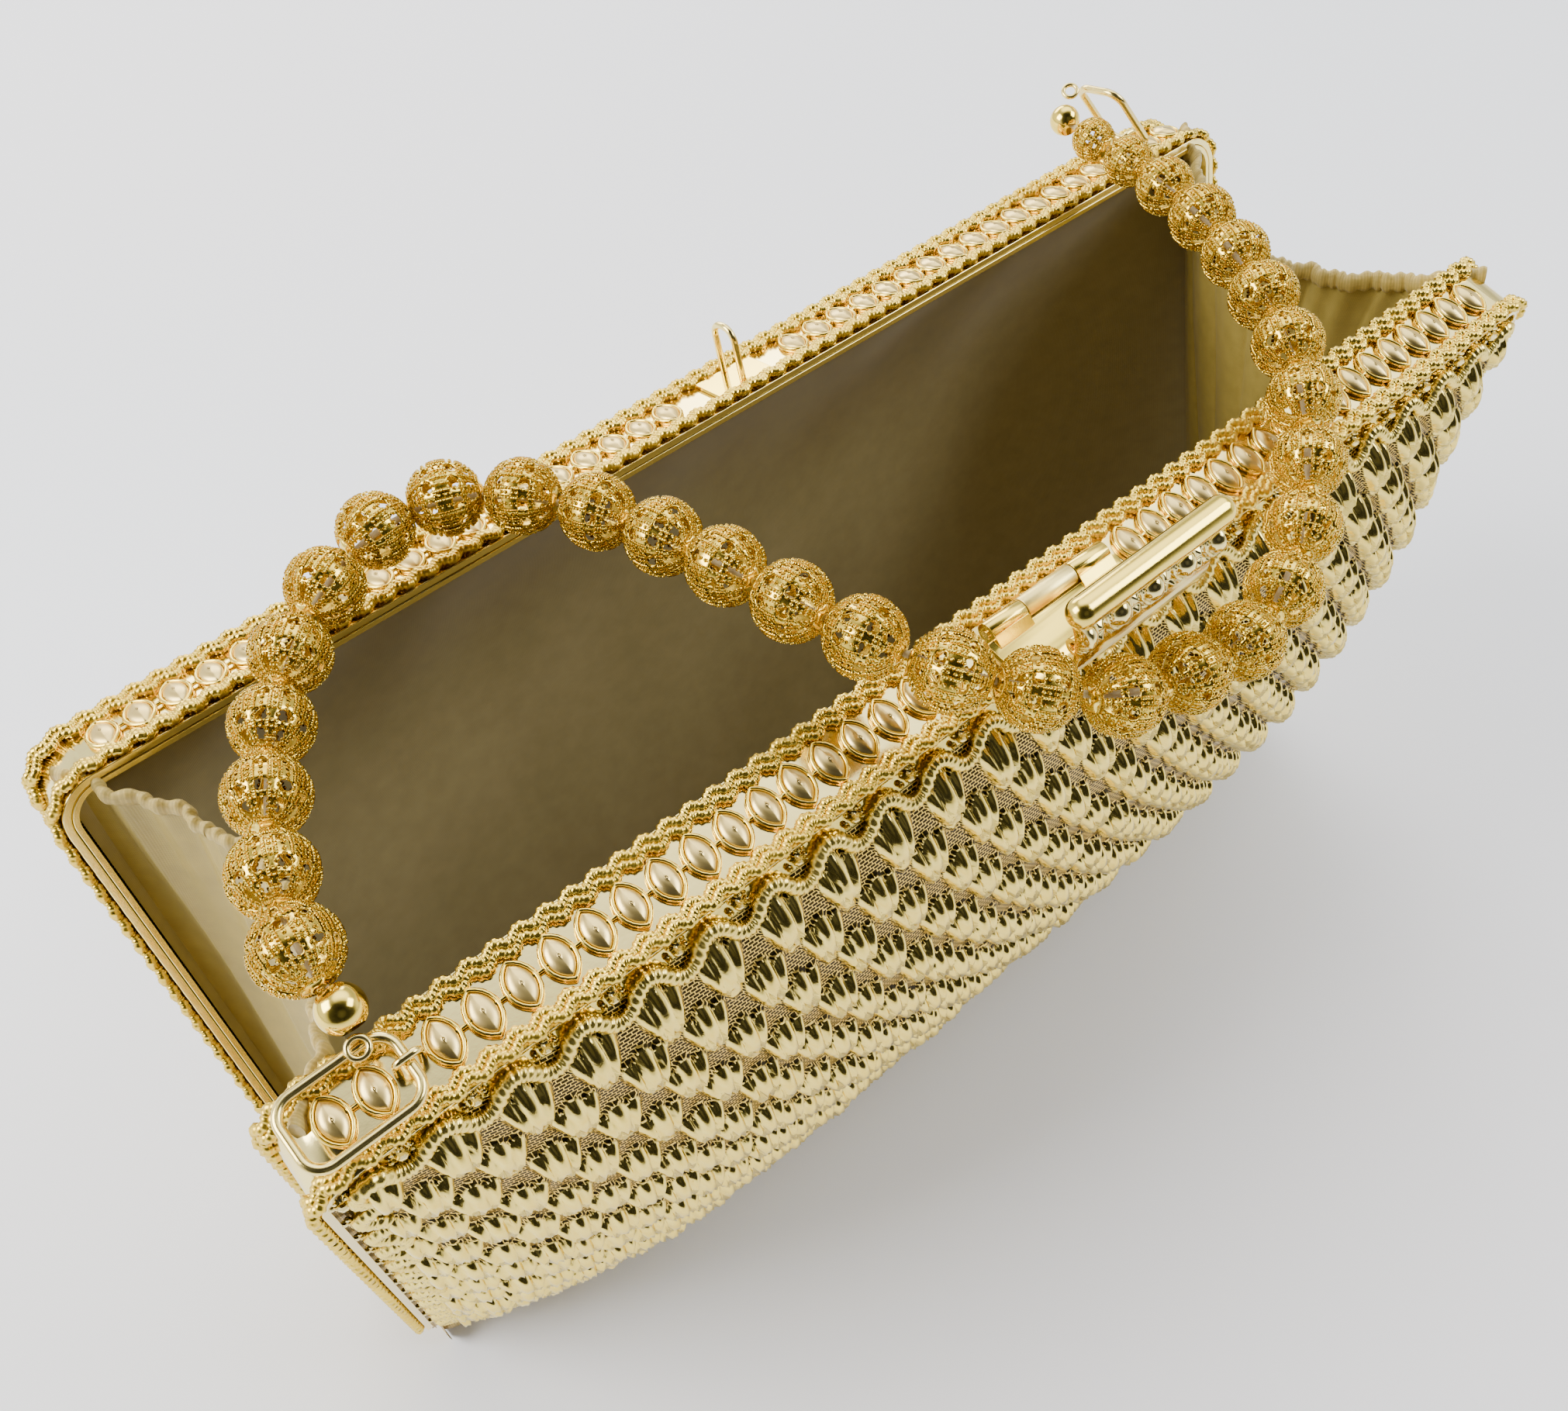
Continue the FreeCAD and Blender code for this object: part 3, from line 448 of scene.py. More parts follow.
def studio():
    """A pale floor, broad soft lights and the camera over the bag's front left corner."""
    side = 14.0
    paper, tree, shader = new_material("floor_paper")
    floor = build("studio_floor", [(-side, -side, 0), (side, -side, 0), (side, side, 0), (-side, side, 0)],
                  np.array([[0, 1, 2, 3]]), paper, towards=(0, 0, 1))
    place = node(tree, "ShaderNodeTexCoord")
    cloud = node(tree, "ShaderNodeTexNoise", [("Vector", place.outputs["Object"])], Scale=2.2, Detail=1.0)
    wash = ramp(tree, cloud.outputs["Fac"], [(0.35, (0.92, 0.95, 1.0)), (0.65, (0.97, 0.96, 0.99))])
    fed(tree, shader, Base_Color=wash.outputs["Color"], Roughness=0.7)

    world = bpy.data.worlds.new("studio_sky")
    bpy.context.scene.world = world
    world.use_nodes = True
    tree = world.node_tree
    way = node(tree, "ShaderNodeTexCoord")
    # The share towards a dark way, where a person stands, and towards the light overhead
    parts = []
    for towards, stops in (
            ((-0.20, -0.78, 0.59),
             [(0.0, 1.0), (0.30, 0.95), (0.48, 0.50), (0.62, 0.05), (0.93, 0.02), (1.0, 0.08)]),
            ((0.38, 0.22, 0.90),
             [(0.0, 0.36), (0.45, 0.34), (0.66, 0.17), (0.82, 0.22), (0.90, 0.80), (1.0, 1.0)])):
        share = node(tree, "ShaderNodeVectorMath", [(0, way.outputs["Generated"]), (1, towards)],
                     operation="DOT_PRODUCT")
        parts.append(ramp(tree, share.outputs["Value"], stops).outputs["Color"])
    glow = mixed(tree, 1.0, *parts, blend="MULTIPLY")
    # The camera itself sees a plain pale backdrop
    is_camera = node(tree, "ShaderNodeLightPath").outputs["Is Camera Ray"]
    fed(tree, tree.nodes["Background"], Color=mixed(tree, is_camera, glow, (0.26, 0.265, 0.275, 1)), Strength=3.9)

    def softbox(name, place, aim, size, power, tint):
        """A broad lamp at one place, turned to face another."""
        lamp = bpy.data.lights.new(name, "AREA")
        lamp.shape, lamp.size, lamp.size_y = "RECTANGLE", size[0], size[1]
        lamp.energy, lamp.color = power, tint
        holder = bpy.data.objects.new(name, lamp)
        bpy.context.scene.collection.objects.link(holder)
        holder.location = place
        holder.rotation_mode = "QUATERNION"
        holder.rotation_quaternion = (Vector(aim) - Vector(place)).to_track_quat("-Z", "Y")

    softbox("left_softbox", (-0.75, 0.35, 0.75), (0, 0, 0.08), (0.6, 0.6), 15.0, (1.0, 0.97, 0.93))
    softbox("right_softbox", (0.8, -0.5, 0.9), (0, 0, 0.08), (0.7, 0.5), 11.0, (0.95, 0.97, 1.0))
    softbox("far_softbox", (0.35, 1.0, 0.55), (0, 0, 0.1), (0.8, 0.4), 8.0, (1.0, 0.96, 0.92))

    camera = bpy.data.objects.new("studio_camera", bpy.data.cameras.new("studio_camera"))
    bpy.context.scene.collection.objects.link(camera)
    bpy.context.scene.camera = camera
    camera.data.sensor_fit, camera.data.sensor_width, camera.data.lens = "HORIZONTAL", 36.0, 33.54
    camera.data.shift_x = -0.0066
    camera.data.clip_start, camera.data.clip_end = 0.01, 20.0
    forward = Vector((0.3905, 0.4916, -0.7783)).normalized()
    right = forward.cross(Vector((0.5261, 0.5746, 0.6269))).normalized()
    up = right.cross(forward)
    camera.matrix_world = Matrix.Translation((-0.0994, -0.1079, 0.2545)) @ Matrix(
        (right, up, -forward)).transposed().to_4x4()


studio()


# ---------------------------------------------------------------- panels

def bulge(x, z, half, low, high, power_x=5.0, power_z=3.0):
    """1 in the middle and 0 at the edges: (1 - |x|^5) (1 - |z|^3) of the shares across and up."""
    across = np.minimum(1, np.abs(x) / half)
    up = np.minimum(1, np.abs(z - (low + high) / 2) / ((high - low) / 2))
    return (1 - across ** power_x) * (1 - up ** power_z)


def panel_depth(x, z):
    """The panel's face: 10.9 mm at its outline and 16.3 mm more in the middle, rounder at the
    top (power 2.2) than at the bottom (power 3)."""
    power = np.where(z > (PANEL_LOW + PANEL_HIGH) / 2, 2.2, 3.0)
    return 10.9 + 16.3 * bulge(x, z, PANEL_HALF, PANEL_LOW, PANEL_HIGH, 5.0, power)


SHELL_PITCH = 8.7
SHELL_ROW = 5.6
SHELL_LENGTH = 9.0
SHELL_FIRST = 109.2
FAN = math.radians(28.5)
LOBES, PLEATS = 3, 6
COVER_HALF, COVER_LOW, COVER_HIGH = 104.4, 8.2, 121.3
COVER_STEP = 0.42
SHELL_RISE = 2.7


def shell_height(x, z):
    """Height from 0 to 1 of puffed shells set half-drop. A shell is a fan about its foot: in
    polar terms (r, a) it is sin(pi t^1.6)^0.65 along, with t = r over a reach that grows on each
    lobe, times |sin| lobes across the fan, which turn to finer pleats at the foot."""
    found = np.zeros_like(x)
    row_near = np.floor((SHELL_FIRST - z) / SHELL_ROW).astype(int)
    for drop in (0, 1, 2):
        row = np.maximum(row_near + drop, 0)
        foot_z = SHELL_FIRST - row * SHELL_ROW
        shift = 0.5 + 0.5 * (row % 2)
        column = np.round(x / SHELL_PITCH - shift)
        foot_x = (column + shift) * SHELL_PITCH
        chance = scatter_noise(row + 3.0, column + 50.0)
        lean = (chance - 0.5) * 0.10
        dx, dz = x - foot_x, z - foot_z + 0.2
        r = np.hypot(dx, dz)
        a = (np.arctan2(dx, np.maximum(dz, 1e-6)) - lean) / FAN
        inside = (np.abs(a) < 1) & (dz > 0) & (foot_z > PANEL_LOW - 4)
        lobe = np.abs(np.sin(LOBES * math.pi / 2 * (a + 1))) ** 0.6
        pleat = np.abs(np.sin(PLEATS * math.pi / 2 * (a + 1)))
        reach = SHELL_LENGTH * (0.84 + 0.16 * lobe) * (1 - 0.15 * a * a)
        t = np.clip(r / reach, 0, 1)
        along = np.sin(math.pi * t ** 1.6) ** 0.65
        ridge = lobe * t + pleat * (1 - t)
        across = np.clip(1 - a ** 4, 0, 1)
        height = along * (0.38 + 0.62 * ridge) * across * (0.88 + 0.24 * chance)
        found = np.maximum(found, np.where(inside, height, 0))
    return found


def edge_share(x, z, half, low, high, reach):
    """0 on the panel's outline, rising smoothly to 1 at the given reach inside it."""
    gap = np.minimum(np.minimum(half - np.abs(x), z - low), high - z)
    t = np.clip(gap / reach, 0, 1)
    return t * t * (3 - 2 * t)


def panel_cover(half, x_from, x_to, side):
    """The shell-puffed foil cover: the panel's domed surface plus up to 1.5 mm, which dies away
    at the outline, plus 2.7 mm times the shells' height. The strip over the first shells is
    plain foil, which the puff mark says."""
    low, high = COVER_LOW, COVER_HIGH
    x, z = spread(x_from, x_to, int(abs(x_to - x_from) / COVER_STEP) + 1,
                  low, high, int((high - low) / COVER_STEP) + 1)
    puff = shell_height(x, z)
    calm = edge_share(x, z, COVER_HALF, low, high, 8.0)
    under_border = np.clip((119.0 - z) / 1.2, 0, 1) * np.clip((101.4 - np.abs(x)) / 1.2, 0, 1)
    top_strip = np.clip((z - 117.8) / 1.2, 0, 1)
    puff = puff * under_border * np.clip((z - low) / 3.0, 0, 1)
    slack = 0.25 * np.sin(x * 0.21 + z * 0.13) * np.sin(z * 0.17 - x * 0.05)
    ground = panel_depth(x, z) - 0.2 + (1.5 + slack) * calm
    points = swing(np.stack([x, ground + SHELL_RISE * puff, z], -1), half)
    along = np.hypot(np.gradient(z, axis=1), np.gradient(ground, axis=1)).cumsum(1)
    uv = np.stack([x, along], -1) / 10.0
    way = np.array((0, -1 if half == "front" else 1, 0))
    piece = build(half + "_cover_" + side, points, grid_faces(*x.shape), foil, half + "_half",
                  towards=way, uv=uv, marks={"puff": puff + top_strip * 0.5})
    return piece


for half in HALVES:
    left = panel_cover(half, -COVER_HALF, 0.0, "left")
    panel_cover(half, 0.0, COVER_HALF, "right")
    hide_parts(half + "_board", half + "_shell_cover")


def lining(half):
    """The satin lining: a hollow of 21.5 mm over 3 mm, with shallow slanting creases."""
    x, z = spread(-102.9, 102.9, 221, 11.0, 120.4, 121)
    full = bulge(x, z, 102.4, 11.5, 119.6)
    crease = (0.22 * np.sin(0.23 * x + 0.11 * z) * np.sin(0.061 * x - 0.09 * z + 1.3)
              + 0.3 * np.sin(0.05 * x + 0.5) * np.sin(0.12 * z)
              + 0.25 * np.exp(-((z - 16) / 9) ** 2) * np.sin(0.55 * x))
    depth = 3.0 + 21.5 * full + crease * np.clip(full * 6, 0, 1)
    points = swing(np.stack([x, depth, z], -1), half)
    way = np.array((0, 1 if half == "front" else -1, 0))
    piece = build(half + "_satin_lining", points, grid_faces(*x.shape), lining_satin, half + "_half",
                  towards=way, uv=np.stack([x, z], -1) / 10.0)
    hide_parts(half + "_lining")


for half in HALVES:
    lining(half)


# ---------------------------------------------------------------- gimp cords and trims

def wound_strand(path, outward, radius, turn, step, ridge=0.13, sides=7):
    """A cord wound with fine wire: a tube whose radius swells by a helix round it."""
    run = np.arange(len(path)) * step
    angle = np.arange(sides) / sides * TAU
    swell = 1 + ridge * np.cos(TAU * run[:, None] / turn + angle[None, :])
    return tube(path, outward, radius * swell, radius * swell, sides)


def band_cord(half, name, start, node_name, flip):
    """Two wound strands side by side on the band's outer face, waving out of step. The lower
    one lies nearer the panel, so the cord beyond the stones is laid the other way round."""
    step, turn = 0.135, 0.54
    strands = []
    for beside, lift, phase in ((0.66, 0.80, 0.0), (1.68, 0.52, 0.5)):
        if flip:
            beside = 2.4 - beside
        x, z, normal, run = arch(step, 18.0, BAND_HALF, BAND_TOP, BAND_CORNER)
        wave = 0.42 * np.sin(TAU * run / 3.3 + phase)
        bob = 0.13 * np.cos(TAU * run / 3.3 + phase)
        centre = np.stack([x, start + beside + wave, z], -1) + normal * (lift + bob)[:, None]
        strands.append(wound_strand(centre, normal, 0.66, turn, step))
    points, faces = joined(strands)
    piece = build(half + "_" + name, swing(points, half), faces, gimp_gold, half + "_half")
    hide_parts(node_name)


for half in HALVES:
    band_cord(half, "inner_gimp", 0.25, half + "_inner_cord", False)
    band_cord(half, "outer_gimp", 9.2, half + "_outer_cord", True)


def border(half):
    """The pale cord in one scallop to a shell, and its beads, one cluster in each hollow."""
    step, turn = 0.16, 0.62
    x, z, normal, run = arch(step, 17.0, PANEL_HALF - 2.5, PANEL_HIGH - 2.5, 3.0)
    crest = np.cos(TAU * (run - SHELL_PITCH / 2) / SHELL_PITCH)
    crest = 1.35 * np.sign(crest) * np.abs(crest) ** 0.8
    x = x + normal[:, 0] * crest
    z = z + normal[:, 2] * crest
    depth = panel_depth(x, z) + 1.05
    centre = np.stack([x, depth, z], -1)
    outward = np.tile(np.array((0.0, 1.0, 0.0)), (len(x), 1))
    points, faces = wound_strand(centre, outward, 0.98, turn, step, 0.12, 8)
    cord = build(half + "_border_gimp", swing(points, half), faces, gimp_pale, half + "_half")
    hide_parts(half + "_border_cord")

    x, z, normal, run = arch(0.1, 19.0, PANEL_HALF - 0.9, PANEL_HIGH - 0.9, 2.0)
    count = int(run[-1] / SHELL_PITCH)
    at = np.searchsorted(run, np.arange(-count, count + 1) * SHELL_PITCH)
    at = np.clip(at, 0, len(run) - 1)
    places, sizes = [], []
    for sideways, down, size in ((0, 0.1, 0.84), (-1.25, -0.5, 0.46), (1.25, -0.45, 0.46), (0.15, 1.15, 0.42),
                                 (-0.95, 0.75, 0.36), (1.05, 0.7, 0.36)):
        bx = x[at] + normal[at, 2] * sideways + normal[at, 0] * down
        bz = z[at] - normal[at, 0] * sideways + normal[at, 2] * down
        places.append(np.stack([bx, panel_depth(bx, bz) + 0.25 + size * 0.6, bz], -1))
        sizes.append(np.full(len(bx), size))
    points, faces = repeated(ball_shape(4, 9), np.concatenate(places), None, np.concatenate(sizes))
    dots = build(half + "_border_beads", swing(points, half), faces, pale_plate, half + "_half")
    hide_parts(half + "_border_dots")


for half in HALVES:
    border(half)


# ---------------------------------------------------------------- stone settings

STONE_PITCH = 4.78
FIRST_STONES = [-99.1, -94.3]
ROW_START, ROW_END = -86.2, 99.5
BEZEL_HALF = (2.8, 1.7)
STONE_HALF = (2.66, 1.56)
LENS_POINTS = 22


def lens(length, width):
    """A pointed oval from two equal arcs: half width at share v of the half length is
    sqrt(R^2 - (v length)^2) - (R - width), with R = (length^2 + width^2) / (2 width)."""
    radius = (length ** 2 + width ** 2) / (2 * width)
    angle = (np.arange(LENS_POINTS) / LENS_POINTS) * TAU
    v = np.cos(angle)
    across = np.sqrt(np.maximum(radius ** 2 - (v * length) ** 2, 0)) - (radius - width)
    return np.stack([np.sign(np.sin(angle)) * across * (np.abs(np.sin(angle)) > 1e-9), v * length], -1)


def stone_places(skip_low, skip_high):
    """Along the bar: two stones before the left staple, then an even row that leaves out the
    stretch under the clasp."""
    places = list(FIRST_STONES)
    x = ROW_START
    while x < ROW_END:
        if not skip_low < x < skip_high:
            places.append(x)
        x += STONE_PITCH
    return np.array(places)


def setting_shape():
    """A bezel: a rounded wall carried round the pointed oval, closed under the stone."""
    profile = [(0.32, 0.0), (0.44, 0.30), (0.40, 0.66), (0.20, 0.86), (0.0, 0.84), (-0.12, 0.66), (-0.12, 0.1)]
    loops = []
    for margin, height in profile:
        outline = lens(*(reach + margin for reach in BEZEL_HALF))
        loops.append(np.column_stack([outline, np.full(len(outline), height)]))
    return np.concatenate(loops), grid_faces(len(profile), len(loops[0]), wrap_rows=True, wrap_columns=True)


def dome_shape():
    """A stone: rings of the pointed oval shrinking to its middle, rising as a quarter ellipse
    from a short upright side."""
    outline = lens(*STONE_HALF)
    foot, side, rise, top = 0.1, 0.45, 0.80, 1.252
    rings = [np.column_stack([outline, np.full(LENS_POINTS, foot)])]
    for share in (1.0, 0.95, 0.86, 0.74, 0.6, 0.44, 0.26, 0.1):
        height = side + rise * math.sqrt(1 - share ** 2)
        rings.append(np.column_stack([outline * share, np.full(LENS_POINTS, height)]))
    points = np.concatenate(rings + [[[0, 0, top], [0, 0, foot]]])
    count = len(rings) * LENS_POINTS
    faces = [grid_faces(len(rings), LENS_POINTS, wrap_columns=True)]
    faces.append(fan_faces(np.arange(count - LENS_POINTS, count), count))
    faces.append(fan_faces(np.arange(LENS_POINTS)[::-1], count + 1))
    return points, faces


def link_shape():
    """The short bar between neighbouring settings, waisted in the middle."""
    reach = np.linspace(-1, 1, 5)
    path = np.stack([reach * 0.85, np.zeros(5), np.full(5, 0.42)], -1)
    thick = (0.26 + 0.12 * reach ** 2)[:, None]
    return tube(path, np.tile((0.0, 0.0, 1.0), (5, 1)), thick, thick, 8)


def on_bar(places):
    """Points of the stones' line on the bar, at the given x."""
    return np.column_stack([places, np.full(len(places), STONE_DEPTH), np.full(len(places), BAND_TOP + 0.04)])


def stone_row(half):
    """A half's stones in their settings, with a link wherever two settings are neighbours."""
    places = stone_places(-11.0, 17.0 if half == "front" else 5.0)
    at = on_bar(places)
    gaps = (places[1:] + places[:-1]) / 2
    link_at = on_bar(gaps[np.diff(places) < 5.5])
    points, faces = joined([repeated(setting_shape(), at), repeated(link_shape(), link_at)])
    bezels = build(half + "_stone_settings", swing(points, half), faces, gold_plate, half + "_half")
    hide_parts(half + "_stone_chain")
    points, faces = repeated(dome_shape(), at)
    domes = build(half + "_stone_domes", swing(points, half), faces, stone_dome, half + "_half")
    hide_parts(half + "_stones")


for half in HALVES:
    stone_row(half)


# ---------------------------------------------------------------- the flap's trim

CLASP_X, CLASP_DEPTH, AXIS_Z = 3.0, 5.0, 124.4
FLAP_ARC, FLAP_MIDDLE_Y, FLAP_MIDDLE_Z = 10.19, 4.5, 122.21
FLAP_OPEN = math.radians(117.0)


def on_flap(x, angle, height):
    """A point on the open flap: out from the arch's middle by its radius plus a height, at an
    angle up from the lip, then turned by the open angle about the barrel."""
    out = (FLAP_ARC + height)[..., None] * np.stack([np.cos(angle), np.sin(angle)], -1)
    y = out[..., 0] + FLAP_MIDDLE_Y + CLASP_DEPTH
    z = out[..., 1] + FLAP_MIDDLE_Z - AXIS_Z
    turned_y = y * math.cos(FLAP_OPEN) - z * math.sin(FLAP_OPEN) - CLASP_DEPTH
    turned_z = y * math.sin(FLAP_OPEN) + z * math.cos(FLAP_OPEN) + AXIS_Z
    return np.stack([x + CLASP_X, -turned_y, turned_z], -1)


def flap_trim():
    """Five mirror domes in a strip of small square facets along the flap's lip. The facets are
    pyramids, 1 - 2 max(|u|, |v|) in each square, and a dome rises as sqrt(1 - r^2) inside a
    rolled rim at r = 1.16. The strip's own edges are sunk into the flap."""
    x, run = spread(-11.6, 11.6, 175, 0, 1, 34)
    angle = np.radians(20.0 + 26.0 * run)
    square, pitch, dome_radius, dome_angle = 1.55, 5.6, 1.62, math.radians(31.0)
    u = np.abs((x / square) % 1 - 0.5)
    v = np.abs((run * 3) % 1 - 0.5)
    facet = 0.18 + 0.62 * (1 - 2 * np.maximum(u, v))
    dome_at = np.round(np.clip(x / pitch, -2, 2)) * pitch
    r = np.hypot(x - dome_at, (angle - dome_angle) * FLAP_ARC) / dome_radius
    dome = 0.35 + 1.75 * np.sqrt(np.clip(1 - r * r, 0, 1))
    rim = 0.30 + 0.65 * np.exp(-((r - 1.16) / 0.12) ** 2)
    height = np.where(r < 1, dome, np.where(r < 1.42, rim, facet))
    edge = (x > -11.59) & (x < 11.59) & (run > 0.001) & (run < 0.999)
    height = np.where(edge, height, -0.3)
    points = swing(on_flap(x, angle, height), "front")
    trim = build("flap_stud_strip", points, grid_faces(*x.shape), pale_plate, "clasp",
                 towards=(0, -0.6, -0.8))
    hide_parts("clasp_studs")


flap_trim()


# ---------------------------------------------------------------- gussets and base

def gusset_reach(z):
    """Half the gap between the two halves' arms at a height."""
    return 4.6 + np.maximum(z - HINGE_Z, 0) * math.tan(OPEN)


GUSSET_FOOT = 8.0
HEM_POINTS, HEM_SIDES, HEM_GATHERS = 420, 12, 40


def gusset_surface(side, share, z):
    """One end's gusset: in plan it runs from arm to arm (share -1 to 1) and bellies into the bag
    by 14 mm at the top, as (1 - |share|^1.7), with gathers that die away downward."""
    up = np.clip((z - GUSSET_FOOT) / 110.0, 0, 1)
    fold = 1.5 + 12.5 * up ** 1.2
    y = share * gusset_reach(z)
    pleat = 1 - 2 * np.abs(np.sin(9.0 * share + 0.9 * np.sin(0.045 * z))) ** 0.7
    gathers = (0.8 * pleat * (0.25 + 0.75 * up ** 2)
               + 0.55 * np.sin(41.0 * share + 0.9 * np.sin(0.1 * z)) * np.clip((z - 88) / 30, 0, 1) ** 1.5
               + 0.5 * np.sin(5.0 * share + 0.07 * z + 0.6))
    calm = np.clip((1 - np.abs(share)) * 6, 0, 1)
    x = 102.3 - fold * (1 - np.abs(share) ** 1.7) + gathers * calm
    return np.stack([side * x, y, z], -1) * MM


def hem_height(share):
    """The hem's line sags by 5.5 mm between the arms."""
    return 117.6 - 5.5 * (1 - share ** 2) ** 1.2


def gusset(side, name):
    """One end's satin with its gathered elastic hem."""
    share, rise = spread(-1, 1, 161, 0, 1, 90)
    z = GUSSET_FOOT + rise * (hem_height(share) - GUSSET_FOOT)
    points = gusset_surface(side, share, z)
    uv = np.stack([share * 3.2, z / 10.0], -1)
    leaf = build(name + "_gusset_satin", points, grid_faces(*share.shape), gusset_satin, "base",
                 towards=(-side, 0, 0), uv=uv)
    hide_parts(name + "_gusset")

    run = np.linspace(-1, 1, HEM_POINTS)
    middle = gusset_surface(side, run, hem_height(run)) / MM
    middle[:, 2] += 0.5
    length = np.linspace(0, 1, HEM_POINTS)
    frill = 1 + 0.13 * np.sin(TAU * HEM_GATHERS * length)[:, None]
    outward = np.tile((side * 1.0, 0.0, 0.0), (HEM_POINTS, 1))
    points, faces = tube(middle, outward, 1.55 * frill, 0.75 * frill, HEM_SIDES)
    around = np.tile(np.arange(HEM_SIDES) / 4.0, HEM_POINTS)
    along = np.repeat(length * 6.0, HEM_SIDES)
    uv = np.concatenate([np.stack([along, around], -1), [[0, 0], [6, 0]]])
    hem = build(name + "_gusset_elastic", points * MM, faces, hem_satin, "base", uv=uv)
    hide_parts(name + "_gusset_hem")
    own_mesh(leaf)
    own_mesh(hem)


gusset(-1, "left")
gusset(1, "right")


def under_cover(half):
    """The foil cloth carried under the bag, from the panel's foot round to the base's middle."""
    x, share = spread(-103.1, 103.1, 200, 0, 1, 40)
    knots = np.array([0.0, 0.35, 0.62, 0.76, 0.88, 1.0])
    out = np.interp(share, knots, [0.0, 7.2, 10.6, 12.2, 12.4, 11.2])
    z = np.interp(share, knots, [0.25, 0.25, 0.55, 2.0, 4.2, 6.3])
    ease = np.clip((PANEL_HALF - 0.9 - np.abs(x)) / 6.0, 0, 1) ** 0.5
    pucker = 0.25 * np.sin(x * 0.9) * np.clip((share - 0.6) * 3, 0, 1)
    side = 1 if half == "front" else -1
    y = -side * (out * (0.8 + 0.2 * ease) + pucker)
    points = np.stack([side * x, y, z], -1) * MM
    away = np.array((0, -side, -1.0))
    piece = build(half + "_under_cover", points, grid_faces(*x.shape), base_cloth, None,
                  towards=away, uv=np.stack([x / 10.0, share * 2.4], -1))
    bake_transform(piece)
    return piece


front_under = under_cover("front")
under_cover("back")
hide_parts("bottom_cover", "base_board")


def base_satin():
    """The satin over the base board, a shallow trough between the two linings' feet."""
    x, y = spread(-101.6, 101.6, 160, -6.5, 6.5, 22)
    z = 4.35 + 8.0 * (np.abs(y) / 6.5) ** 3.2 + 0.12 * np.sin(x * 0.4) * np.cos(y)
    piece = build("base_satin", np.stack([x, y, z], -1) * MM, grid_faces(*x.shape), lining_satin, "base",
                  towards=(0, 0, 1), uv=np.stack([x, y], -1) / 10.0)
    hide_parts("bottom_lining")


base_satin()


def base_end(side, name):
    """The foil cloth folded over one end of the base: its outline is the under cover's section,
    and it bows outward by 0.45 (1 - s^2) mm, s being the share across."""
    s, rise = spread(-1, 1, 61, 0, 1, 30)
    z = 0.28 + rise * (7.4 - 1.2 * s * s)
    out = np.interp(z, [0.25, 0.55, 2.0, 4.2, 6.3, 8.0], [10.6, 11.0, 12.2, 12.4, 11.3, 9.5])
    x = 103.05 + 0.45 * (1 - s * s) + 0.1 * np.sin(9 * s + z)
    piece = build(name + "_base_end", np.stack([side * x, s * out, z], -1) * MM, grid_faces(*s.shape),
                  base_cloth, "base", towards=(side, 0, 0), uv=np.stack([s * 1.2, z / 10.0], -1))


def foot_tuck(half, side, name):
    """The cloth tucked in under one foot of the band, a low pillow between band, panel and base."""
    a, b = spread(0, 1, 24, 0, 1, 26)
    depth = 2.9 + 8.0 * a
    z = 7.0 + 1.5 * (1 - a) + b * (8.8 - 1.5 * (1 - a))
    x = 103.9 + 0.35 * np.sin(math.pi * a) * np.sin(math.pi * b) + 0.06 * np.sin(5 * z)
    points = swing(np.stack([side * x, depth, z], -1), half)
    piece = build(f"{half}_{name}_foot_tuck", points, grid_faces(*a.shape), base_cloth, half + "_half",
                  towards=(side if half == "front" else -side, 0, 0),
                  uv=np.stack([depth, z], -1) / 10.0)


for side, name in ((-1, "left"), (1, "right")):
    base_end(side, name)
    for half in HALVES:
        foot_tuck(half, side, name)


# ---------------------------------------------------------------- the strand

def nurbs(name, points, thickness, material):
    """A thread on one smooth open spline with the given control points."""
    curve = bpy.data.curves.new(name, "CURVE")
    curve.dimensions = "3D"
    spline = curve.splines.new("NURBS")
    spline.points.add(len(points) - 1)
    for point, place in zip(spline.points, points):
        point.co = (place[0] * MM, place[1] * MM, place[2] * MM, 1)
    spline.order_u = 3
    spline.use_endpoint_u = True
    spline.resolution_u = 12
    piece = bpy.data.objects.new(name, curve)
    bpy.context.scene.collection.objects.link(piece)
    line = read_line(piece)
    curve.bevel_depth = thickness / 2 * MM
    curve.bevel_resolution = 3
    curve.materials.append(material)
    return piece, line


def read_line(piece):
    """The spline's own line as points in millimetres."""
    bpy.context.view_layer.update()
    mesh = bpy.data.meshes.new_from_object(piece)
    line = np.array([v.co for v in mesh.vertices], float) / MM
    bpy.data.meshes.remove(mesh)
    return line


def bead_frames(line, places):
    """Each bead's centre, drawn 0.4 of its way to the line, and axes with the third along it."""
    centres, axes = [], []
    for place in np.asarray(places, float):
        k = int(np.argmin(np.linalg.norm(line - place, axis=1)))
        before, after = line[max(k - 2, 0)], line[min(k + 2, len(line) - 1)]
        way = (after - before) / np.linalg.norm(after - before)
        first = np.cross(way, (0.0, 0.0, 1.0))
        first /= np.linalg.norm(first)
        spin = scatter_noise(np.float64(k + 1)) * TAU
        second = np.cross(way, first)
        turned = first * math.cos(spin) + second * math.sin(spin)
        centres.append(place * 0.6 + line[k] * 0.4)
        axes.append(np.stack([turned, np.cross(way, turned), way]))
    return np.array(centres), np.array(axes)


LATITUDES = np.array([5, 12, 31, 38, 53, 67, 73, 79], float)
COLUMNS = 20


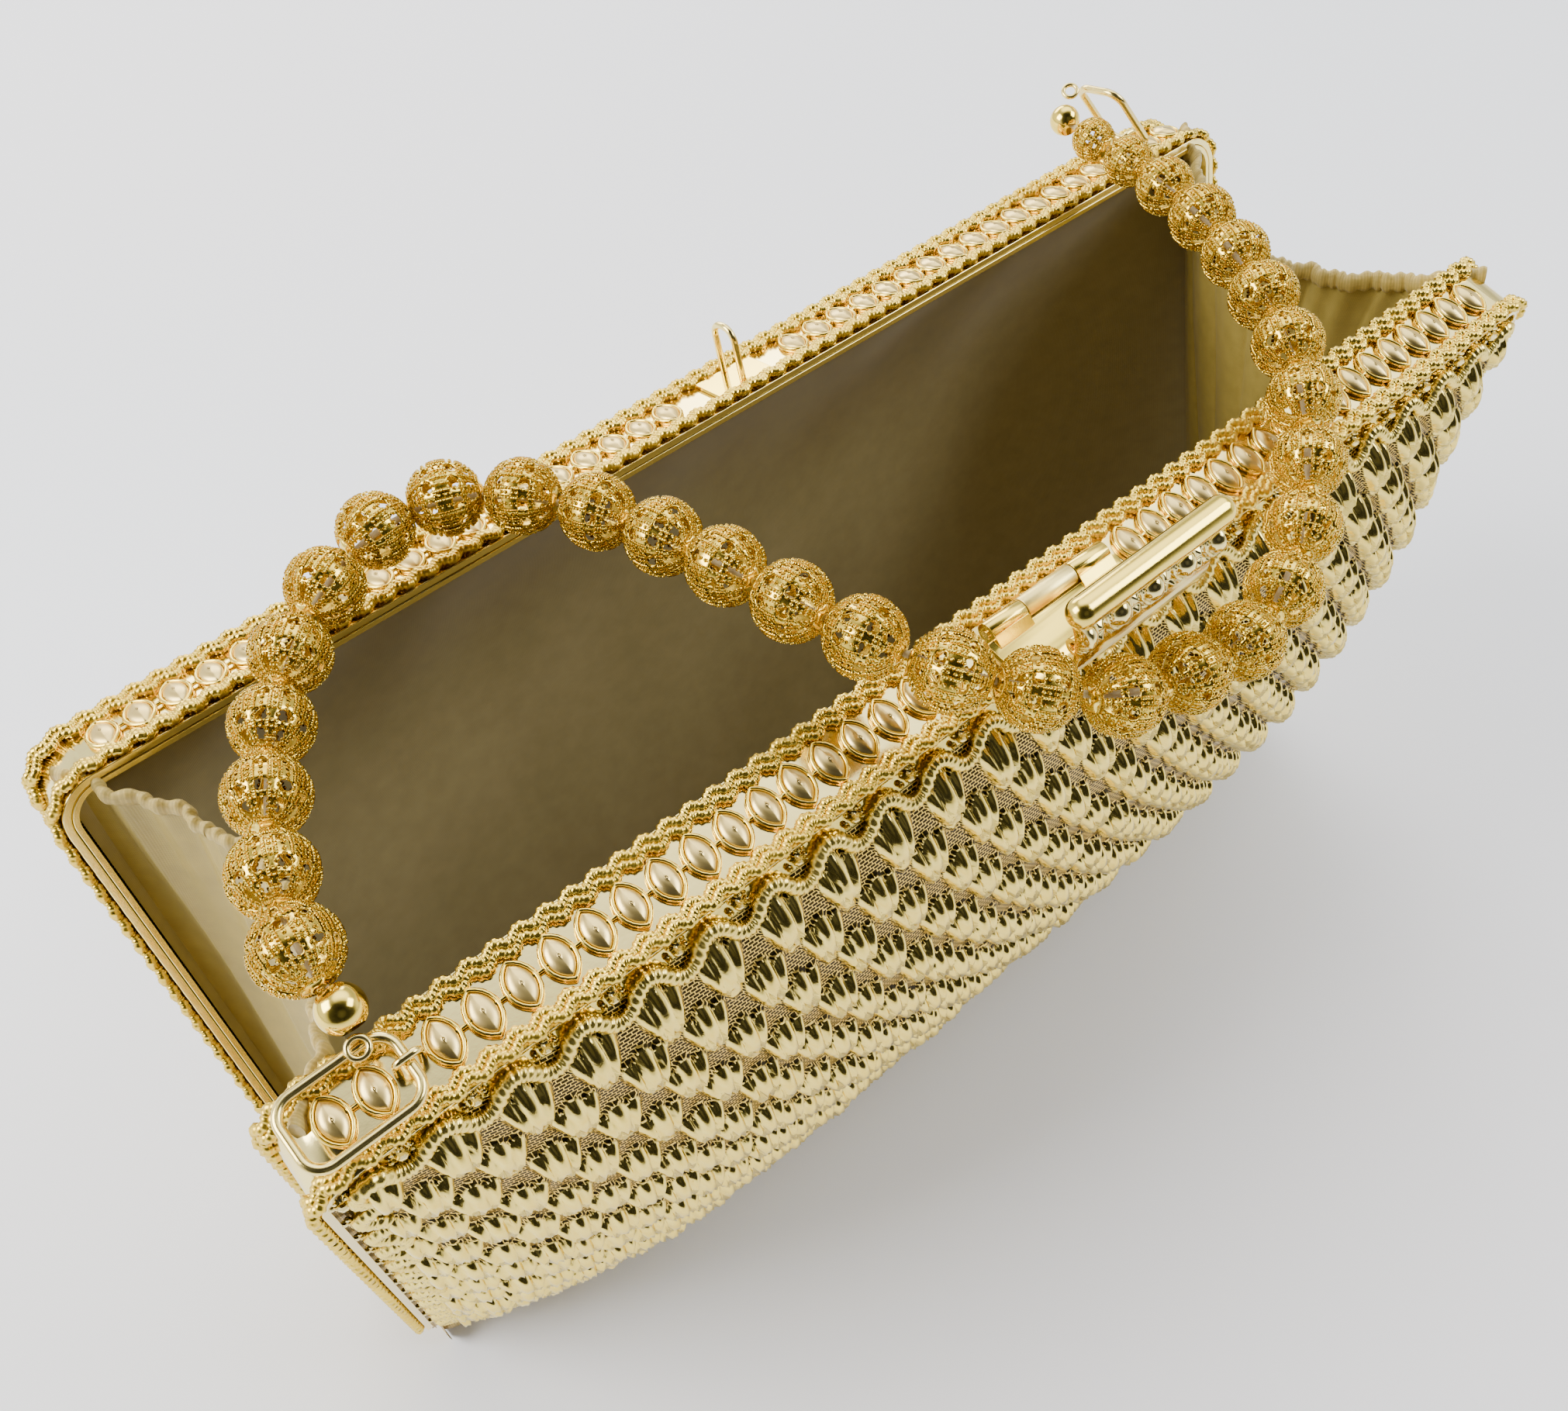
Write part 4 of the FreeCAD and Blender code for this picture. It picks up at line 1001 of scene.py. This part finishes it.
def openwork_lattice():
    """Points and kept quads of a unit bead: rings of latitude with every other column cut out
    in two rows of windows to each half, from 12 to 31 and from 38 to 67 degrees."""
    rows = np.radians(np.concatenate([-LATITUDES[::-1], LATITUDES]))
    lon = (np.arange(COLUMNS) + 0.11 * (-1.0) ** np.arange(COLUMNS)) / COLUMNS * TAU
    a, b = np.meshgrid(rows, lon, indexing="ij")
    points = np.stack([np.cos(a) * np.cos(b), np.cos(a) * np.sin(b), np.sin(a)], -1).reshape(-1, 3)
    faces = grid_faces(len(rows), COLUMNS, wrap_columns=True).reshape(len(rows) - 1, COLUMNS, 4)
    middle = len(LATITUDES) - 1
    keep = np.ones(faces.shape[:2], bool)
    for away in (2, 4, 5):
        keep[[middle - away, middle + away], 1::2] = False
    return points, faces[keep]


def granule_places(points, faces):
    """Where the granules sit on a bead: on each lattice point and halfway along each rib."""
    edges = np.concatenate([faces[:, [0, 1]], faces[:, [1, 2]], faces[:, [2, 3]], faces[:, [3, 0]]])
    edges = np.unique(np.sort(edges, axis=1), axis=0)
    spots = np.concatenate([points[np.unique(faces)], points[edges].mean(1)])
    spots = spots / np.linalg.norm(spots, axis=1)[:, None]
    return spots[np.abs(spots[:, 2]) < 0.93]


GRAIN_POINTS = np.array([(1, 0, 0), (0.31, 0.95, 0), (-0.81, 0.59, 0), (-0.81, -0.59, 0), (0.31, -0.95, 0),
                         (0.62, 0, 0.72), (0.19, 0.59, 0.72), (-0.5, 0.36, 0.72), (-0.5, -0.36, 0.72),
                         (0.19, -0.59, 0.72), (0, 0, 1)], float)


def granule_shape():
    """A low domed grain of two rings of five points and a top, open under it."""
    return GRAIN_POINTS, [grid_faces(2, 5, wrap_columns=True), fan_faces(np.arange(5, 10), 10)]


def strand_beads(name, line, places, radii, body, node_name):
    """One stretch's openwork beads, and the granules soldered over them."""
    centres, axes = bead_frames(line, places)
    points, faces = openwork_lattice()
    shell = repeated((points, [faces]), centres, axes, radii - 0.35)
    beads = build(name + "_openwork", shell[0] * MM, shell[1], bead_gold, body,
                  towards=(0, 0, 1))
    fix_outward(beads.data, centres * MM)
    wall = beads.modifiers.new("wall", "SOLIDIFY")
    wall.thickness, wall.offset = 0.42 * MM, -1
    smooth = beads.modifiers.new("smooth", "SUBSURF")
    smooth.levels = smooth.render_levels = 1
    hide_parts(node_name)

    spots = granule_places(points, faces)
    grain, grain_faces = granule_shape()
    places_all, axes_all, sizes = [], [], []
    for centre, frame_axes, radius in zip(centres, axes, radii):
        way = spots @ frame_axes
        first = np.cross(way, (0.3, 0.5, 0.81))
        first /= np.linalg.norm(first, axis=1)[:, None]
        places_all.append(centre + way * (radius - 0.36))
        axes_all.append(np.stack([first, np.cross(way, first), way], 1))
        sizes.append(np.full(len(spots), 0.29 * radius / BEAD_RADIUS))
    grains = repeated((grain, grain_faces), np.concatenate(places_all), np.concatenate(axes_all),
                      np.concatenate(sizes))
    bits = build(name + "_granules", grains[0] * MM, grains[1], bead_gold, body,
                 towards=(0, 0, 1))
    fix_grains(bits.data, np.concatenate(axes_all)[:, 2], len(grain_faces[0]))
    return beads, bits, centres, axes


def fix_outward(mesh, centres):
    """Turns the faces that look towards their nearest bead's centre."""
    count = len(mesh.polygons)
    middles = np.zeros(count * 3)
    normals = np.zeros(count * 3)
    mesh.polygons.foreach_get("center", middles)
    mesh.polygons.foreach_get("normal", normals)
    middles, normals = middles.reshape(-1, 3), normals.reshape(-1, 3)
    per = count // len(centres)
    away = middles - np.repeat(centres, per, axis=0)
    if ((away * normals).sum(1) < 0).mean() > 0.5:
        mesh.flip_normals()


def fix_grains(mesh, ways, quads):
    """Turns the grains' faces outward if their first faces look into the bead."""
    normals = np.zeros(len(mesh.polygons) * 3)
    mesh.polygons.foreach_get("normal", normals)
    normals = normals.reshape(-1, 3)[:len(ways) * quads]
    if (normals * np.repeat(ways, quads, axis=0)).sum() < 0:
        mesh.flip_normals()


def strand_caps(name, centres, axes, radii, body):
    """A petalled cap at each end of each bead: a low cone whose rim waves in six petals."""
    sides = 24
    turn = np.arange(sides) / sides * TAU
    petals = 1 + 0.12 * np.cos(6 * turn)
    loops = []
    for reach, rise in ((1.75, -0.42), (1.45, -0.10), (0.9, 0.16), (0.55, 0.28), (0.5, -0.1)):
        wave = petals if reach > 1 else np.ones(sides)
        loops.append(np.stack([np.cos(turn) * reach * wave, np.sin(turn) * reach * wave,
                               np.full(sides, rise)], -1))
    shape = (np.concatenate(loops), [grid_faces(len(loops), sides, wrap_rows=True, wrap_columns=True)])
    places, turned = [], []
    for centre, frame_axes, radius in zip(centres, axes, radii):
        for end_way in (1, -1):
            places.append(centre + frame_axes[2] * end_way * (radius - 0.42))
            turned.append(np.stack([frame_axes[0], frame_axes[1] * end_way, frame_axes[2] * end_way]))
    points, faces = repeated(shape, np.array(places), np.array(turned))
    return build(name + "_bead_caps", points * MM, faces, gold_plate, body)


def strand(name, route, places, radii, body):
    """One stretch of the strand: its thread through the beads, the beads and their caps."""
    core, line = nurbs(name + "_thread", route, 0.9, thread)
    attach(core, body)
    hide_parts(name + "_core")
    beads, bits, centres, axes = strand_beads(name, line, places, radii, body, name + "_beads")
    caps = strand_caps(name, centres, axes, radii, body)


middle_point = tuple((np.array(LEFT_BEADS[-1]) + np.array(RIGHT_BEADS[0])) / 2)
left_radii = np.full(len(LEFT_BEADS), BEAD_RADIUS)
right_radii = np.array([END_BEAD_RADII.get(i, BEAD_RADIUS) for i in range(len(RIGHT_BEADS))])
strand("left", [LEFT_BALL] + LEFT_BEADS + [middle_point], LEFT_BEADS, left_radii, "handle_left")
strand("right", [RIGHT_BALL] + RIGHT_BEADS[::-1] + [middle_point], RIGHT_BEADS, right_radii, "handle_right")


# ---------------------------------------------------------------- metal parts kept from the frame

def finish_node(name, material, bevel=0.0):
    """A kept metal part: its finish, and a fine rounding of its edges."""
    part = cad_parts[name]
    part.data.materials.clear()
    part.data.materials.append(material)
    if bevel:
        weld = part.modifiers.new("weld", "WELD")
        weld.merge_threshold = 2e-6
        edge = part.modifiers.new("edge", "BEVEL")
        edge.width, edge.segments = bevel * MM, 2
        edge.limit_method, edge.angle_limit = "ANGLE", math.radians(40)
        edge.harden_normals = True


for half in HALVES:
    finish_node(half + "_frame", pale_plate, 0.15)
    finish_node(half + "_rim", pale_plate, 0.12)
for name, material, bevel in (
        ("clasp_base", satin_gold, 0.12), ("clasp_flap", gold_plate, 0.12), ("clasp_pin", wire_gold, 0.0),
        ("clasp_lip", gold_plate, 0.0), ("catch_tubes", gold_plate, 0.1),
        ("catch_loop", wire_gold, 0.0), ("catch_plate", gold_plate, 0.1), ("left_staple", wire_gold, 0.0),
        ("right_staple", wire_gold, 0.0), ("left_ring", wire_gold, 0.0), ("right_ring", wire_gold, 0.0),
        ("left_ball", gold_plate, 0.0), ("right_ball", gold_plate, 0.0), ("left_link", wire_gold, 0.0),
        ("right_link", wire_gold, 0.0), ("base_stay", stay_steel, 0.0),
        ("left_hinge_pin", pale_plate, 0.1), ("right_hinge_pin", pale_plate, 0.1)):
    finish_node(name, material, bevel)
